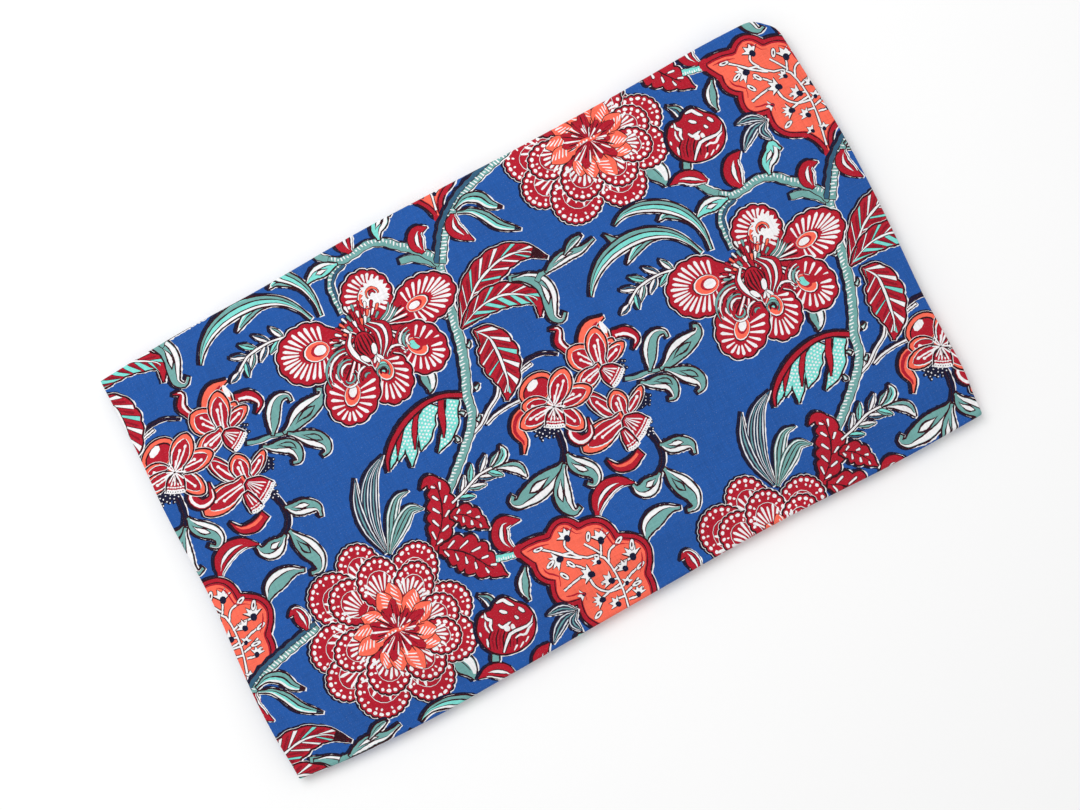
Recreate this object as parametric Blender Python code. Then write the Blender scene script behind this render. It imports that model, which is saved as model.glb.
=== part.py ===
"""A cut of block-printed cotton, put away flat.

The cloth is doubled, selvedge to selvedge, and the doubled cloth is then folded back and forth into a
packet: the cut end is tucked in under the top section, and the other end lies underneath at the back.
It is one solid, a thin sheet that is carried along a profile (the doubling) and a path (the folding).

Metres, +Z up. +X runs from the open selvedge end to the centre fold, +Y from the front fold to the back
fold, and the origin is at the middle of the underside.
"""

import bpy
import numpy as np

# ---- driving dimensions -------------------------------------------------------------------------

LENGTH = 0.560        # packet, selvedges to centre fold: half of a 1.12 m wide cloth
DEPTH = 0.332         # packet, front fold to back fold
PLY = 0.0010          # one thickness of cloth
PLY_GAP = 0.0004      # air between the two plies of the doubled cloth
LEVEL_GAP = 0.0006    # air between one section of the packet and the next
TUCK_STOP = 0.041     # the tucked-in end stops this far short of the front fold
SLOPE_START = 0.038   # from here the top section slopes down past the tucked-in end,
SLOPE_END = 0.009     # and here it has reached the level of that end
SWELL = 0.20          # how much fuller the middle stands than the pressed edges, as a share of height

SECTION = 2 * PLY + PLY_GAP           # thickness of the doubled cloth
PITCH = SECTION + LEVEL_GAP           # from one level to the next
TURN = PITCH / 2                      # radius of a fold, to the middle of the doubled cloth
TURN_CENTRE = DEPTH / 2 - TURN - SECTION / 2
DOUBLING = (PLY + PLY_GAP) / 2        # radius of the centre fold, to the middle of a ply

# The packet's sections in the order in which the cloth runs through them.
# name, level counted from the floor, heading along Y, how many of the stations it uses
SECTIONS = (
    ("tucked end", 3, +1, "close"),
    ("top", 4, -1, "close"),
    ("second", 2, +1, "close"),
    ("third", 1, -1, "wide"),
    ("bottom", 0, +1, "wide"),
)

# Cross-lines of the sheet: distances from the front and back turns, and from the selvedges
CLOSE_FROM_FRONT = (0.0, 0.005, 0.011, 0.018, 0.025, 0.031, 0.040, 0.062, 0.100)
CLOSE_FROM_BACK = (0.130, 0.085, 0.050, 0.028, 0.016, 0.009, 0.004, 0.0)
WIDE_FROM_FRONT = (0.0, 0.011, 0.025, 0.062, 0.120)
WIDE_FROM_BACK = (0.130, 0.085, 0.028, 0.009, 0.0)
ALONG_PLY = (0.0, 0.010, 0.040, 0.090, 0.150, 0.215, 0.280, 0.345, 0.410, 0.470, 0.515, 0.543)
TURN_STEPS = 5        # facets round a fold
DOUBLING_STEPS = 4    # facets round the centre fold

# How far each edge of the packet strays from a straight line, in millimetres, + outwards.
# Front and back: distance along X from the middle, in millimetres, then the stray.
FRONT_EDGE = ((-280, -3.0), (-245, 0.8), (-175, 4.0), (-110, 3.0), (0, 0.6), (115, -1.2), (215, 1.5), (280, 0.6))
BACK_EDGE = ((-280, -8.0), (-220, -4.2), (-150, -3.0), (-75, 0.0), (70, 0.2), (150, 1.0), (235, 3.6), (280, 3.0))
# Left and right: distance along Y from the middle, then the stray.
LEFT_EDGE = ((-166, 3.6), (-95, 4.0), (-65, 2.0), (-35, -0.4), (60, -1.0), (105, -3.0), (166, -3.0))
RIGHT_EDGE = ((-166, -6.5), (-125, -3.6), (-70, -2.8), (-25, 0.6), (75, 3.7), (125, 1.5), (166, -0.5))
CORNER_REACH = 0.022  # the back corner over the centre fold is rubbed round over this length,
CORNER_CUT = 0.0085   # and is pulled in by this much at its tip

# How far each level is pulled in behind the top one, in millimetres, from the floor up
LEVEL_INSETS = (
    # left, right, front, back
    (3.0, 2.2, 2.4, 4.5),
    (1.2, 1.0, 2.4, 1.8),
    (2.4, 1.8, 0.0, 1.8),
    (0.6, 0.8, 0.0, 0.0),
    (0.0, 0.0, 0.0, 0.0),
)

# Distance over which each edge rounds off from the fuller middle
ROUND_FRONT, ROUND_BACK, ROUND_LEFT, ROUND_RIGHT = 0.040, 0.018, 0.016, 0.026

# Soft swells and hollows of the packet, as shares of its height
SWELLS = (
    # x, y, reach, share
    (-0.150, 0.040, 0.085, 0.045),
    (0.060, 0.085, 0.075, -0.035),
    (0.130, -0.060, 0.090, -0.045),
    (-0.060, -0.080, 0.070, 0.030),
    (0.225, 0.070, 0.060, 0.035),
)


# ---- the folding: the path of the doubled cloth, seen from the selvedges ------------------------

def smooth(t):
    """An S-curve from 0 to 1, level at both ends."""
    t = np.clip(t, 0.0, 1.0)
    return t * t * (3.0 - 2.0 * t)


def level_height(level):
    """Height of the middle of the doubled cloth on a level, before the packet swells."""
    return SECTION / 2 + level * PITCH


def section_path(level, heading, spacing, tucked, top):
    """Points (y, height) along one section, in the order in which the cloth runs."""
    near, far = (CLOSE_FROM_FRONT, CLOSE_FROM_BACK) if spacing == "close" else (WIDE_FROM_FRONT, WIDE_FROM_BACK)
    y = np.concatenate([-TURN_CENTRE + np.array(near), TURN_CENTRE - np.array(far)])
    if tucked:
        y = y[y > -DEPTH / 2 + TUCK_STOP]
    height = np.full_like(y, level_height(level))
    if top:
        from_front = y + DEPTH / 2
        height -= PITCH * smooth((SLOPE_START - from_front) / (SLOPE_START - SLOPE_END))
    return np.stack([y, height], axis=1)[::heading]


def turn_path(side, low, high, heading_down):
    """The points between the ends of a half circle at the front (-1) or back (+1) that joins two levels."""
    angle = np.linspace(0.0, np.pi, TURN_STEPS + 1)[1:-1]
    middle = (level_height(low) + level_height(high)) / 2
    radius = (level_height(high) - level_height(low)) / 2
    y = side * (TURN_CENTRE + radius * np.sin(angle))
    height = middle + radius * np.cos(angle) * (1 if heading_down else -1)
    return np.stack([y, height], axis=1)


def folding_path():
    """The whole path as points (y, height) and unit normals, the normal on the cloth's upper ply."""
    parts = []
    level_at_front = {4: 3}           # the top section has come down a level by the front
    for index, (name, level, heading, spacing) in enumerate(SECTIONS):
        parts.append(section_path(level, heading, spacing, index == 0, name == "top"))
        if index + 1 < len(SECTIONS):
            start = level_at_front.get(level, level) if heading < 0 else level
            end = SECTIONS[index + 1][1]
            parts.append(turn_path(heading, min(start, end), max(start, end), start > end))
    path = np.concatenate(parts)
    step = np.gradient(path, axis=0)
    before = np.vstack([step[:1], np.diff(path, axis=0)])
    after = np.vstack([np.diff(path, axis=0), step[-1:]])
    before /= np.linalg.norm(before, axis=1, keepdims=True)
    after /= np.linalg.norm(after, axis=1, keepdims=True)
    tangent = before + after
    tangent /= np.linalg.norm(tangent, axis=1, keepdims=True)
    stretch = 1.0 / np.sum(tangent * after, axis=1)
    normal = np.stack([tangent[:, 1], -tangent[:, 0]], axis=1) * stretch[:, None]
    return path, normal


# ---- the doubling: the profile of the doubled cloth, seen from the front -------------------------

def doubling_profile():
    """Points (x, offset) along the middle of the ply, and unit normals that point to the printed face."""
    along = np.array(ALONG_PLY)
    ends = np.append(along, LENGTH - DOUBLING - PLY / 2)
    flat = ends - LENGTH / 2
    angle = np.linspace(np.pi / 2, -np.pi / 2, DOUBLING_STEPS + 1)[1:-1]
    upper = np.stack([flat, np.full_like(flat, DOUBLING)], axis=1)
    fold = np.stack([flat[-1] + DOUBLING * np.cos(angle), DOUBLING * np.sin(angle)], axis=1)
    lower = np.stack([flat, np.full_like(flat, -DOUBLING)], axis=1)[::-1]
    profile = np.concatenate([upper, fold, lower])
    up, down = [0.0, 1.0], [0.0, -1.0]
    normal = np.array([up] * len(upper) + list(np.stack([np.cos(angle), np.sin(angle)], axis=1)) + [down] * len(lower))
    return profile, normal


# ---- the unevenness: from the straight packet to the real one -------------------------------------

def stray(table, where):
    """A smooth curve through a table of (place, stray) rows in millimetres, read at places in metres."""
    place, value = (np.array(column) / 1000.0 for column in zip(*table))
    slope = np.gradient(value, place)
    row = np.clip(np.searchsorted(place, where) - 1, 0, len(place) - 2)
    width = place[row + 1] - place[row]
    t = np.clip((where - place[row]) / width, 0.0, 1.0)
    return (
        value[row] * (1 + 2 * t) * (1 - t) ** 2
        + value[row + 1] * t * t * (3 - 2 * t)
        + slope[row] * width * t * (1 - t) ** 2
        - slope[row + 1] * width * t * t * (1 - t)
    )


def level_inset(column, height, blend):
    """How far a point at a height is pulled in, changing from level to level over the blend distance."""
    inset = np.array([row[column] for row in LEVEL_INSETS]) / 1000.0
    level = (height - SECTION / 2) / PITCH
    below = np.clip(np.floor(level), 0, len(inset) - 2).astype(int)
    share = np.clip((level - below - 0.5) * PITCH / blend + 0.5, 0.0, 1.0)
    return inset[below] * (1 - share) + inset[below + 1] * share


def fullness(x, y):
    """1 at the pressed edges, rising to 1 + SWELL in the middle, with the soft swells and hollows."""
    inside = (
        smooth((y + DEPTH / 2) / ROUND_FRONT)
        * smooth((DEPTH / 2 - y) / ROUND_BACK)
        * smooth((x + LENGTH / 2) / ROUND_LEFT)
        * smooth((LENGTH / 2 - x) / ROUND_RIGHT)
    )
    soft = sum(share * np.exp(-((x - at_x) ** 2 + (y - at_y) ** 2) / reach**2) for at_x, at_y, reach, share in SWELLS)
    return 1.0 + inside * (SWELL + soft)


def uneven(x, y, height):
    """Move points of the straight packet to their places in the real one."""
    to_right = (x + LENGTH / 2) / LENGTH
    to_back = (y + DEPTH / 2) / DEPTH
    corner = np.clip(1 - (LENGTH / 2 - x + DEPTH / 2 - y) / CORNER_REACH, 0.0, 1.0) ** 2 * CORNER_CUT
    left = stray(LEFT_EDGE, y) - level_inset(0, height, PITCH)
    right = stray(RIGHT_EDGE, y) - level_inset(1, height, PITCH) - corner
    front = stray(FRONT_EDGE, x) - level_inset(2, height, LEVEL_GAP)
    back = stray(BACK_EDGE, x) - level_inset(3, height, LEVEL_GAP) - corner
    new_x = x - left * (1 - to_right) + right * to_right
    new_y = y - front * (1 - to_back) + back * to_back
    return np.stack([new_x, new_y, height * fullness(x, y)], axis=-1)


# ---- the solid -------------------------------------------------------------------------------------

def sheet_points(side):
    """The grid of points on one face of the ply: +1 the printed face, -1 the wrong side."""
    profile, profile_normal = doubling_profile()
    path, path_normal = folding_path()
    line = profile + side * PLY / 2 * profile_normal
    x = np.repeat(line[:, :1], len(path), axis=1)
    y = path[None, :, 0] + line[:, 1:] * path_normal[None, :, 0]
    height = path[None, :, 1] + line[:, 1:] * path_normal[None, :, 1]
    return uneven(x, y, height)


def sheet_faces(grid, rows, columns):
    """Triangles of the two faces, the selvedges and the cut ends. Each square is split along the same
    diagonal of the packet, so that one ply lies evenly on the next."""
    printed = np.arange(rows * columns).reshape(rows, columns)
    wrong = printed + rows * columns
    faces = []
    for i in range(rows - 1):
        for j in range(columns - 1):
            span = grid[i + 1, j + 1] - grid[i, j]
            a, b, c, d = printed[i, j], printed[i + 1, j], printed[i + 1, j + 1], printed[i, j + 1]
            along = span[0] * span[1] >= 0
            split = ((a, c, b), (a, d, c)) if along else ((a, d, b), (b, d, c))
            for face in split:
                faces.append(face)
                faces.append(tuple(point + rows * columns for point in reversed(face)))
    rim = list(printed[:, 0]) + list(printed[-1, 1:]) + list(printed[-2::-1, -1]) + list(printed[0, -2:0:-1])
    for here, there in zip(rim, rim[1:] + rim[:1]):
        faces.append((here, there, here + rows * columns))
        faces.append((there, there + rows * columns, here + rows * columns))
    return faces


def cotton():
    """Matt cotton in the blue of the printed ground."""
    material = bpy.data.materials.new("printed cotton")
    material.use_nodes = True
    shader = material.node_tree.nodes["Principled BSDF"]
    shader.inputs["Base Color"].default_value = (0.019, 0.100, 0.362, 1.0)
    shader.inputs["Roughness"].default_value = 0.9
    shader.inputs["Metallic"].default_value = 0.0
    return material


def folded_cloth():
    """The cloth as one solid, centred over the origin, with its underside on z = 0."""
    printed, wrong = sheet_points(+1), sheet_points(-1)
    rows, columns, _ = printed.shape
    points = np.concatenate([printed.reshape(-1, 3), wrong.reshape(-1, 3)])
    middle = (points.min(axis=0) + points.max(axis=0)) / 2
    points -= (middle[0], middle[1], points[:, 2].min())
    mesh = bpy.data.meshes.new("printed_cloth")
    mesh.from_pydata(points.tolist(), [], sheet_faces(printed, rows, columns))
    mesh.materials.append(cotton())
    mesh.shade_smooth()
    mesh.set_sharp_from_angle(angle=np.radians(40))
    mesh.validate()
    cloth = bpy.data.objects.new("printed_cloth", mesh)
    bpy.context.scene.collection.objects.link(cloth)
    return cloth


def main():
    for thing in list(bpy.data.objects):
        bpy.data.objects.remove(thing)
    cloth = folded_cloth()
    path, _ = folding_path()
    run = np.linalg.norm(np.diff(path, axis=0), axis=1).sum()
    print(f"cut length {run:.3f} m, cloth width {2 * (LENGTH - DOUBLING) + (np.pi - 2) * DOUBLING:.3f} m")
    print(f"{len(cloth.data.polygons)} faces, size {tuple(round(v, 4) for v in cloth.dimensions)}")


main()
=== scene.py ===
# %% [markdown]
# # A folded cut of block-printed cotton
# The object is one length of thin cotton, about 1.12 m wide and 1.6 m long, printed by hand with a trailing
# flower pattern of the Indian chintz family. It is doubled selvedge to selvedge and folded back and forth
# into a flat packet. This lesson makes the cloth in the same folds as the CAD solid, then prints it: every
# motif is an outline worked out by a formula, and the outlines are cut into the cloth's own mesh, so that
# each face of the mesh has one dye.

import bpy
import numpy as np
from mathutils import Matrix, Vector
from mathutils.geometry import delaunay_2d_cdt


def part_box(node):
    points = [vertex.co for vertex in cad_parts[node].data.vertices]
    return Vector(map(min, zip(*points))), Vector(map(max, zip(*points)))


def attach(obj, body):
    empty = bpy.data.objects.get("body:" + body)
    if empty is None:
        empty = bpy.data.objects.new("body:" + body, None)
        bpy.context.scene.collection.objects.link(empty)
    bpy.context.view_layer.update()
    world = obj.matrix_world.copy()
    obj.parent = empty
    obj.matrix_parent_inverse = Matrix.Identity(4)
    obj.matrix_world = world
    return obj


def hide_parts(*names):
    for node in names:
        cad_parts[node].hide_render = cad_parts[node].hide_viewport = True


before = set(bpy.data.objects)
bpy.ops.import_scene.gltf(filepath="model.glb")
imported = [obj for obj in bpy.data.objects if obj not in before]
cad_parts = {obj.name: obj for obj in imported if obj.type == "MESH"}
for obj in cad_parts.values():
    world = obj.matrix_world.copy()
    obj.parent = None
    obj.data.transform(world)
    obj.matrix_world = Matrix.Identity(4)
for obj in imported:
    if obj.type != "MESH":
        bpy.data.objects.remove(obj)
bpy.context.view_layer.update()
NODE_LOW, NODE_HIGH = (np.array(corner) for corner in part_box("printed_cloth"))
print("CAD box, mm:", np.round((NODE_HIGH - NODE_LOW) * 1000, 1))

# %% [markdown]
# ## Camera, floor and light
# The packet lies on a white studio table, seen from almost straight above and turned, so the floor is a
# plain pale sheet that is much larger than the view. One broad soft light hangs above the back left side.
# It leaves the front roll a little darker, because the cloth there turns away from it. The colour transform
# is set to Standard, since a filmic one would wash out the dyes.

# %% Camera
MM = 0.001
AZIMUTH, ELEVATION, DISTANCE = -28.3, 84.6, 1.3      # degrees and metres
LOOK_AT = Vector((-0.0060, -0.0085, 0.0140))
VIEW_WIDTH = 0.780                                  # metres across the view at the distance of the cloth


def make_camera():
    """A camera on a sphere about the point it looks at: azimuth 0 looks along +Y."""
    azimuth, elevation = np.radians(AZIMUTH), np.radians(ELEVATION)
    back = Vector((
        np.sin(azimuth) * np.cos(elevation),
        -np.cos(azimuth) * np.cos(elevation),
        np.sin(elevation),
    ))
    camera = bpy.data.objects.new("camera", bpy.data.cameras.new("camera"))
    camera.data.angle = 2 * np.arctan(VIEW_WIDTH / 2 / DISTANCE)
    camera.data.clip_start = 0.05
    camera.rotation_mode = "QUATERNION"
    camera.location = LOOK_AT + back * DISTANCE
    camera.rotation_quaternion = back.to_track_quat("Z", "Y")
    bpy.context.scene.collection.objects.link(camera)
    bpy.context.scene.camera = camera
    print("camera at", np.round(camera.location, 3))


make_camera()

# %% Floor and light
FLOOR_SIDE = 6.0
FLOOR_COLOUR = (0.95, 0.95, 0.95, 1.0)
FLOOR_FINISH = {
    "Base Color": FLOOR_COLOUR,
    "Roughness": 0.9,
    "Specular IOR Level": 0.2,
    "Emission Color": FLOOR_COLOUR,
    "Emission Strength": 0.06,      # a white sweep is lit a little more than what lies on it
}
WORLD_COLOUR, WORLD_STRENGTH = (1.0, 1.0, 1.0, 1.0), 0.62
LIGHT_PLACE, LIGHT_SIZE, LIGHT_POWER = (-0.35, 0.75, 1.60), 1.2, 17.0      # metres, metres and watts


def shader_of(material):
    """The material's Principled BSDF."""
    return material.node_tree.nodes["Principled BSDF"]


def make_floor():
    """A square of matt white paper at height 0. Its edges are out of sight."""
    half = FLOOR_SIDE / 2
    corners = [(-half, -half, 0), (half, -half, 0), (half, half, 0), (-half, half, 0)]
    mesh = bpy.data.meshes.new("table_top")
    mesh.from_pydata(corners, [], [(0, 1, 2, 3)])
    material = bpy.data.materials.new("white table paper")
    material.use_nodes = True
    shader = shader_of(material)
    for socket, value in FLOOR_FINISH.items():
        shader.inputs[socket].default_value = value
    mesh.materials.append(material)
    floor = bpy.data.objects.new("table_top", mesh)
    bpy.context.scene.collection.objects.link(floor)


def soft_light(name, place, size, power):
    """A square area light that faces the packet."""
    light = bpy.data.lights.new(name, "AREA")
    light.size = size
    light.energy = power
    lamp = bpy.data.objects.new(name, light)
    lamp.location = place
    lamp.rotation_mode = "QUATERNION"
    lamp.rotation_quaternion = Vector(place).to_track_quat("Z", "Y")
    bpy.context.scene.collection.objects.link(lamp)


def make_world(colour, strength):
    """An even white surround, which lights the cloth from all sides."""
    world = bpy.data.worlds.new("white room")
    world.use_nodes = True
    background = world.node_tree.nodes["Background"]
    background.inputs["Color"].default_value = colour
    background.inputs["Strength"].default_value = strength
    bpy.context.scene.world = world


make_floor()
make_world(WORLD_COLOUR, WORLD_STRENGTH)
soft_light("overhead", LIGHT_PLACE, LIGHT_SIZE, LIGHT_POWER)
bpy.context.scene.view_settings.view_transform = "Standard"

# %% [markdown]
# ## The folds
# The CAD solid is a thin sheet carried along a profile (the doubling, selvedge to selvedge) and a path (the
# folding, back and forth). The same sizes and tables are used here, so the cloth lies in the solid's own
# folds, but the path and profile are now smooth curves, and the cloth is as thin as real cotton with its
# air around it. A place on the cloth is given by u, across it from one selvedge to the other, and v, along
# it from the tucked-in end.

# %% Sizes of the packet, in metres, as the CAD solid has them
LENGTH, DEPTH = 0.560, 0.332
PLY, PLY_GAP, LEVEL_GAP = 0.0010, 0.0004, 0.0006
TUCK_STOP, SLOPE_START, SLOPE_END = 0.041, 0.038, 0.009
SWELL = 0.20
SECTION = 2 * PLY + PLY_GAP
PITCH = SECTION + LEVEL_GAP
TURN = PITCH / 2
TURN_CENTRE = DEPTH / 2 - TURN - SECTION / 2
DOUBLING = (PLY + PLY_GAP) / 2
COTTON = 0.00050                       # the cloth's own thickness
FLAT_END = LENGTH - DOUBLING - PLY / 2   # where the upper ply meets the centre fold, measured along u
FOLD_ARC = np.pi * DOUBLING
WIDTH = 2 * FLAT_END + FOLD_ARC

# The packet's sections in the order in which the cloth runs through them: name, level, heading along Y
SECTIONS = (("tucked end", 3, +1), ("top", 4, -1), ("second", 2, +1), ("third", 1, -1), ("bottom", 0, +1))

# How far the edges stray, in millimetres, + outwards: (place along the edge, stray)
FRONT_EDGE = (
    (-280, -3.0), (-245, 0.8), (-175, 4.0), (-110, 3.0), (0, 0.6), (115, -1.2), (215, 1.5), (280, 0.6),
)
BACK_EDGE = (
    (-280, -8.0), (-220, -4.2), (-150, -3.0), (-75, 0.0), (70, 0.2), (150, 1.0), (235, 3.6), (280, 3.0),
)
LEFT_EDGE = ((-166, 3.6), (-95, 4.0), (-65, 2.0), (-35, -0.4), (60, -1.0), (105, -3.0), (166, -3.0))
RIGHT_EDGE = ((-166, -6.5), (-125, -3.6), (-70, -2.8), (-25, 0.6), (75, 3.7), (125, 1.5), (166, -0.5))
CORNER_REACH, CORNER_CUT = 0.022, 0.0085
# How far each level is pulled in, in millimetres, from the floor up: left, right, front, back
LEVEL_INSETS = (
    (3.0, 2.2, 2.4, 4.5),
    (1.2, 1.0, 2.4, 1.8),
    (2.4, 1.8, 0.0, 1.8),
    (0.6, 0.8, 0.0, 0.0),
    (0.0, 0.0, 0.0, 0.0),
)
ROUND_FRONT, ROUND_BACK, ROUND_LEFT, ROUND_RIGHT = 0.040, 0.018, 0.016, 0.026
# Soft swells and hollows of the packet: x, y, reach, share of the height
SWELLS = (
    (-0.150, 0.040, 0.085, 0.045),
    (0.060, 0.085, 0.075, -0.035),
    (0.130, -0.060, 0.090, -0.045),
    (-0.060, -0.080, 0.070, 0.030),
    (0.225, 0.070, 0.060, 0.035),
)

# %% The path of the folding
def smooth(t):
    """An S-curve from 0 to 1, level at both ends: t squared times (3 - 2t)."""
    t = np.clip(t, 0.0, 1.0)
    return t * t * (3.0 - 2.0 * t)


def level_height(level):
    """Height of the middle of the doubled cloth on a level, before the packet swells."""
    return SECTION / 2 + level * PITCH


def folding_path():
    """Points (y, height) along the folding, and the cloth's length v at the ends of each section. Sections
    are straight, but for the top one, which slopes down past the tucked-in end; turns are half circles."""
    stretches, ends = [], {}
    for index, (name, level, heading) in enumerate(SECTIONS):
        y = np.linspace(-TURN_CENTRE, TURN_CENTRE, 661)[::heading]
        if index == 0:
            y = y[y > -DEPTH / 2 + TUCK_STOP]
        height = np.full_like(y, level_height(level))
        if name == "top":
            height -= PITCH * smooth((SLOPE_START - (y + DEPTH / 2)) / (SLOPE_START - SLOPE_END))
        stretches.append((name, y, height))
        if index + 1 < len(SECTIONS):
            low, high = sorted((round((height[-1] - SECTION / 2) / PITCH), SECTIONS[index + 1][1]))
            falling = height[-1] > level_height(low) + TURN / 2
            angle = np.linspace(0.0, np.pi, 31)[1:-1]
            middle, radius = (level_height(low) + level_height(high)) / 2, (high - low) * PITCH / 2
            turn_y = heading * (TURN_CENTRE + radius * np.sin(angle))
            stretches.append(("turn", turn_y, middle + radius * np.cos(angle) * (1 if falling else -1)))
    y = np.concatenate([stretch[1] for stretch in stretches])
    height = np.concatenate([stretch[2] for stretch in stretches])
    length = np.concatenate([[0.0], np.cumsum(np.hypot(np.diff(y), np.diff(height)))])
    start = 0
    for name, part, _ in stretches:
        if name != "turn":
            ends[name] = (length[start], length[start + len(part) - 1])
        start += len(part)
    heading = np.unwrap(np.arctan2(np.gradient(height), np.gradient(y)))
    return length, y, height, heading, ends


PATH_V, PATH_Y, PATH_HEIGHT, PATH_HEADING, SECTION_ENDS = folding_path()
CUT_LENGTH = PATH_V[-1]
V_MIDDLE = SECTION_ENDS["top"][0] + TURN_CENTRE     # the top section's middle line, where y is 0
print("cloth", round(WIDTH, 3), "by", round(CUT_LENGTH, 3), "m; sections end at", SECTION_ENDS)

# %% From the flat cloth to the packet
def cubic(value, slope, row, t, width):
    """A cubic from one row of a table to the next: t runs from 0 to 1, and both ends keep the table's
    values and slopes."""
    return (
        value[row] * (1 + 2 * t) * (1 - t) ** 2
        + value[row + 1] * t * t * (3 - 2 * t)
        + slope[row] * width * t * (1 - t) ** 2
        - slope[row + 1] * width * t * t * (1 - t)
    )


def stray(table, where):
    """A smooth curve through a table of (place, stray) rows in millimetres, read at places in metres."""
    place, value = (np.array(column) * MM for column in zip(*table))
    row = np.clip(np.searchsorted(place, where) - 1, 0, len(place) - 2)
    width = place[row + 1] - place[row]
    t = np.clip((where - place[row]) / width, 0.0, 1.0)
    return cubic(value, np.gradient(value, place), row, t, width)


def level_inset(column, height, blend):
    """How far a point at a height is pulled in, changing from level to level over the blend distance."""
    inset = np.array([row[column] for row in LEVEL_INSETS]) * MM
    level = (height - SECTION / 2) / PITCH
    below = np.clip(np.floor(level), 0, len(inset) - 2).astype(int)
    share = np.clip((level - below - 0.5) * PITCH / blend + 0.5, 0.0, 1.0)
    return inset[below] * (1 - share) + inset[below + 1] * share


RIPPLE_SHARE = 0.006
WANDER_REACH = 0.06      # metres within which the selvedges' wander dies out
# Pressed-in creases and slack ridges: x, y, direction in degrees, length, width, share of the height
CREASES = (
    (-0.020, 0.118, 4, 0.110, 0.0050, 0.022),
    (0.165, 0.052, -8, 0.090, 0.0060, -0.026),
    (-0.205, -0.035, 78, 0.075, 0.0070, 0.024),
    (0.055, -0.112, 12, 0.120, 0.0060, -0.024),
    (0.236, -0.020, 84, 0.085, 0.0055, 0.020),
    (-0.110, 0.095, -62, 0.060, 0.0060, -0.020),
    (0.090, 0.010, 35, 0.070, 0.0080, 0.018),
    (-0.235, 0.110, 20, 0.050, 0.0060, 0.020),
)


def creases(x, y):
    """The sum of soft troughs and ridges: each is a bell across its line and a longer bell along it."""
    total = np.zeros_like(x)
    for at_x, at_y, degrees, length, width, share in CREASES:
        c, s = np.cos(np.radians(degrees)), np.sin(np.radians(degrees))
        along = (x - at_x) * c + (y - at_y) * s
        across = (y - at_y) * c - (x - at_x) * s - 0.06 * along * np.sin(along / length * 4)
        total += share * np.exp(-((across / width) ** 2) - (2 * along / length) ** 4)
    return total


def ripple(x, y):
    """Very shallow ripples all over, left by washing and pressing: three long waves that cross."""
    return RIPPLE_SHARE * (
        np.sin(61 * x + 24 * y + 1.3) + np.sin(-38 * x + 73 * y) + 0.7 * np.sin(97 * x - 58 * y + 2.1)
    )


def fullness(x, y):
    """1 at the pressed edges, rising to 1 + SWELL in the middle, with swells, creases and ripples."""
    inside = (
        smooth((y + DEPTH / 2) / ROUND_FRONT)
        * smooth((DEPTH / 2 - y) / ROUND_BACK)
        * smooth((x + LENGTH / 2) / ROUND_LEFT)
        * smooth((LENGTH / 2 - x) / ROUND_RIGHT)
    )
    soft = sum(
        share * np.exp(-((x - at_x) ** 2 + (y - at_y) ** 2) / reach**2) for at_x, at_y, reach, share in SWELLS
    )
    return 1.0 + inside * (SWELL + soft + creases(x, y) + ripple(x, y))


def uneven(x, y, height):
    """Move points of the straight packet to their places in the real one."""
    to_right = (x + LENGTH / 2) / LENGTH
    to_back = (y + DEPTH / 2) / DEPTH
    corner = np.clip(1 - (LENGTH / 2 - x + DEPTH / 2 - y) / CORNER_REACH, 0.0, 1.0) ** 2 * CORNER_CUT
    left = stray(LEFT_EDGE, y) - level_inset(0, height, PITCH)
    right = stray(RIGHT_EDGE, y) - level_inset(1, height, PITCH) - corner
    front = stray(FRONT_EDGE, x) - level_inset(2, height, LEVEL_GAP)
    back = stray(BACK_EDGE, x) - level_inset(3, height, LEVEL_GAP) - corner
    new_x = x - left * (1 - to_right) + right * to_right
    new_y = y - front * (1 - to_back) + back * to_back
    return np.stack([new_x, new_y, height * fullness(x, y)], axis=-1)


def selvedge_wander(u, v):
    """The two selvedges never lie quite on each other: each wanders by a millimetre or two along the cloth,
    and the wander dies out within the nearest tenth of the width."""
    near = np.exp(-np.minimum(u, WIDTH - u) / WANDER_REACH)
    lower = u > WIDTH / 2
    under = 1.3 * np.sin(9.1 * v + 0.6) + 0.5 * np.sin(31 * v)
    over = 0.9 * np.sin(7.3 * v + 2.2) - 0.4
    return near * (np.where(lower, under, over) + np.where(lower, 0.9, 0.0)) * MM


def folded(u, v, side):
    """The place of a point of the cloth at (u, v), in metres. Side is +1 on the printed face and -1 on the
    wrong one, which lie half the cotton's thickness out from the middle."""
    lift = side * COTTON / 2
    around = np.clip((u - FLAT_END) / DOUBLING, 0.0, np.pi)
    flat_run = np.where(u < WIDTH / 2, np.minimum(u, FLAT_END), np.minimum(WIDTH - u, FLAT_END))
    x = -LENGTH / 2 + flat_run + (DOUBLING + lift) * np.sin(around)
    offset = (DOUBLING + lift) * np.cos(around)
    y = np.interp(v, PATH_V, PATH_Y)
    height = np.interp(v, PATH_V, PATH_HEIGHT)
    heading = np.interp(v, PATH_V, PATH_HEADING)
    y = y + offset * np.sin(heading)
    height = height - offset * np.cos(heading)
    return uneven(x + selvedge_wander(u, v), y, height)


def packet_shift():
    """The move that puts the packet's middle over the CAD solid's and its underside on the floor."""
    u, v = np.meshgrid(np.linspace(0, WIDTH, 225), PATH_V)
    points = folded(u, v, +1).reshape(-1, 3)
    low, high = points.min(axis=0), points.max(axis=0)
    middle = (NODE_LOW + NODE_HIGH) / 2
    print("packet, mm:", np.round((high - low) * 1000, 1))
    return np.array([middle[0] - (low[0] + high[0]) / 2, middle[1] - (low[1] + high[1]) / 2, -low[2]])


SHIFT = packet_shift()


def cloth_point(u, v, side):
    """A point of the cloth in the packet's own frame."""
    return folded(u, v, side) + SHIFT


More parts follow.
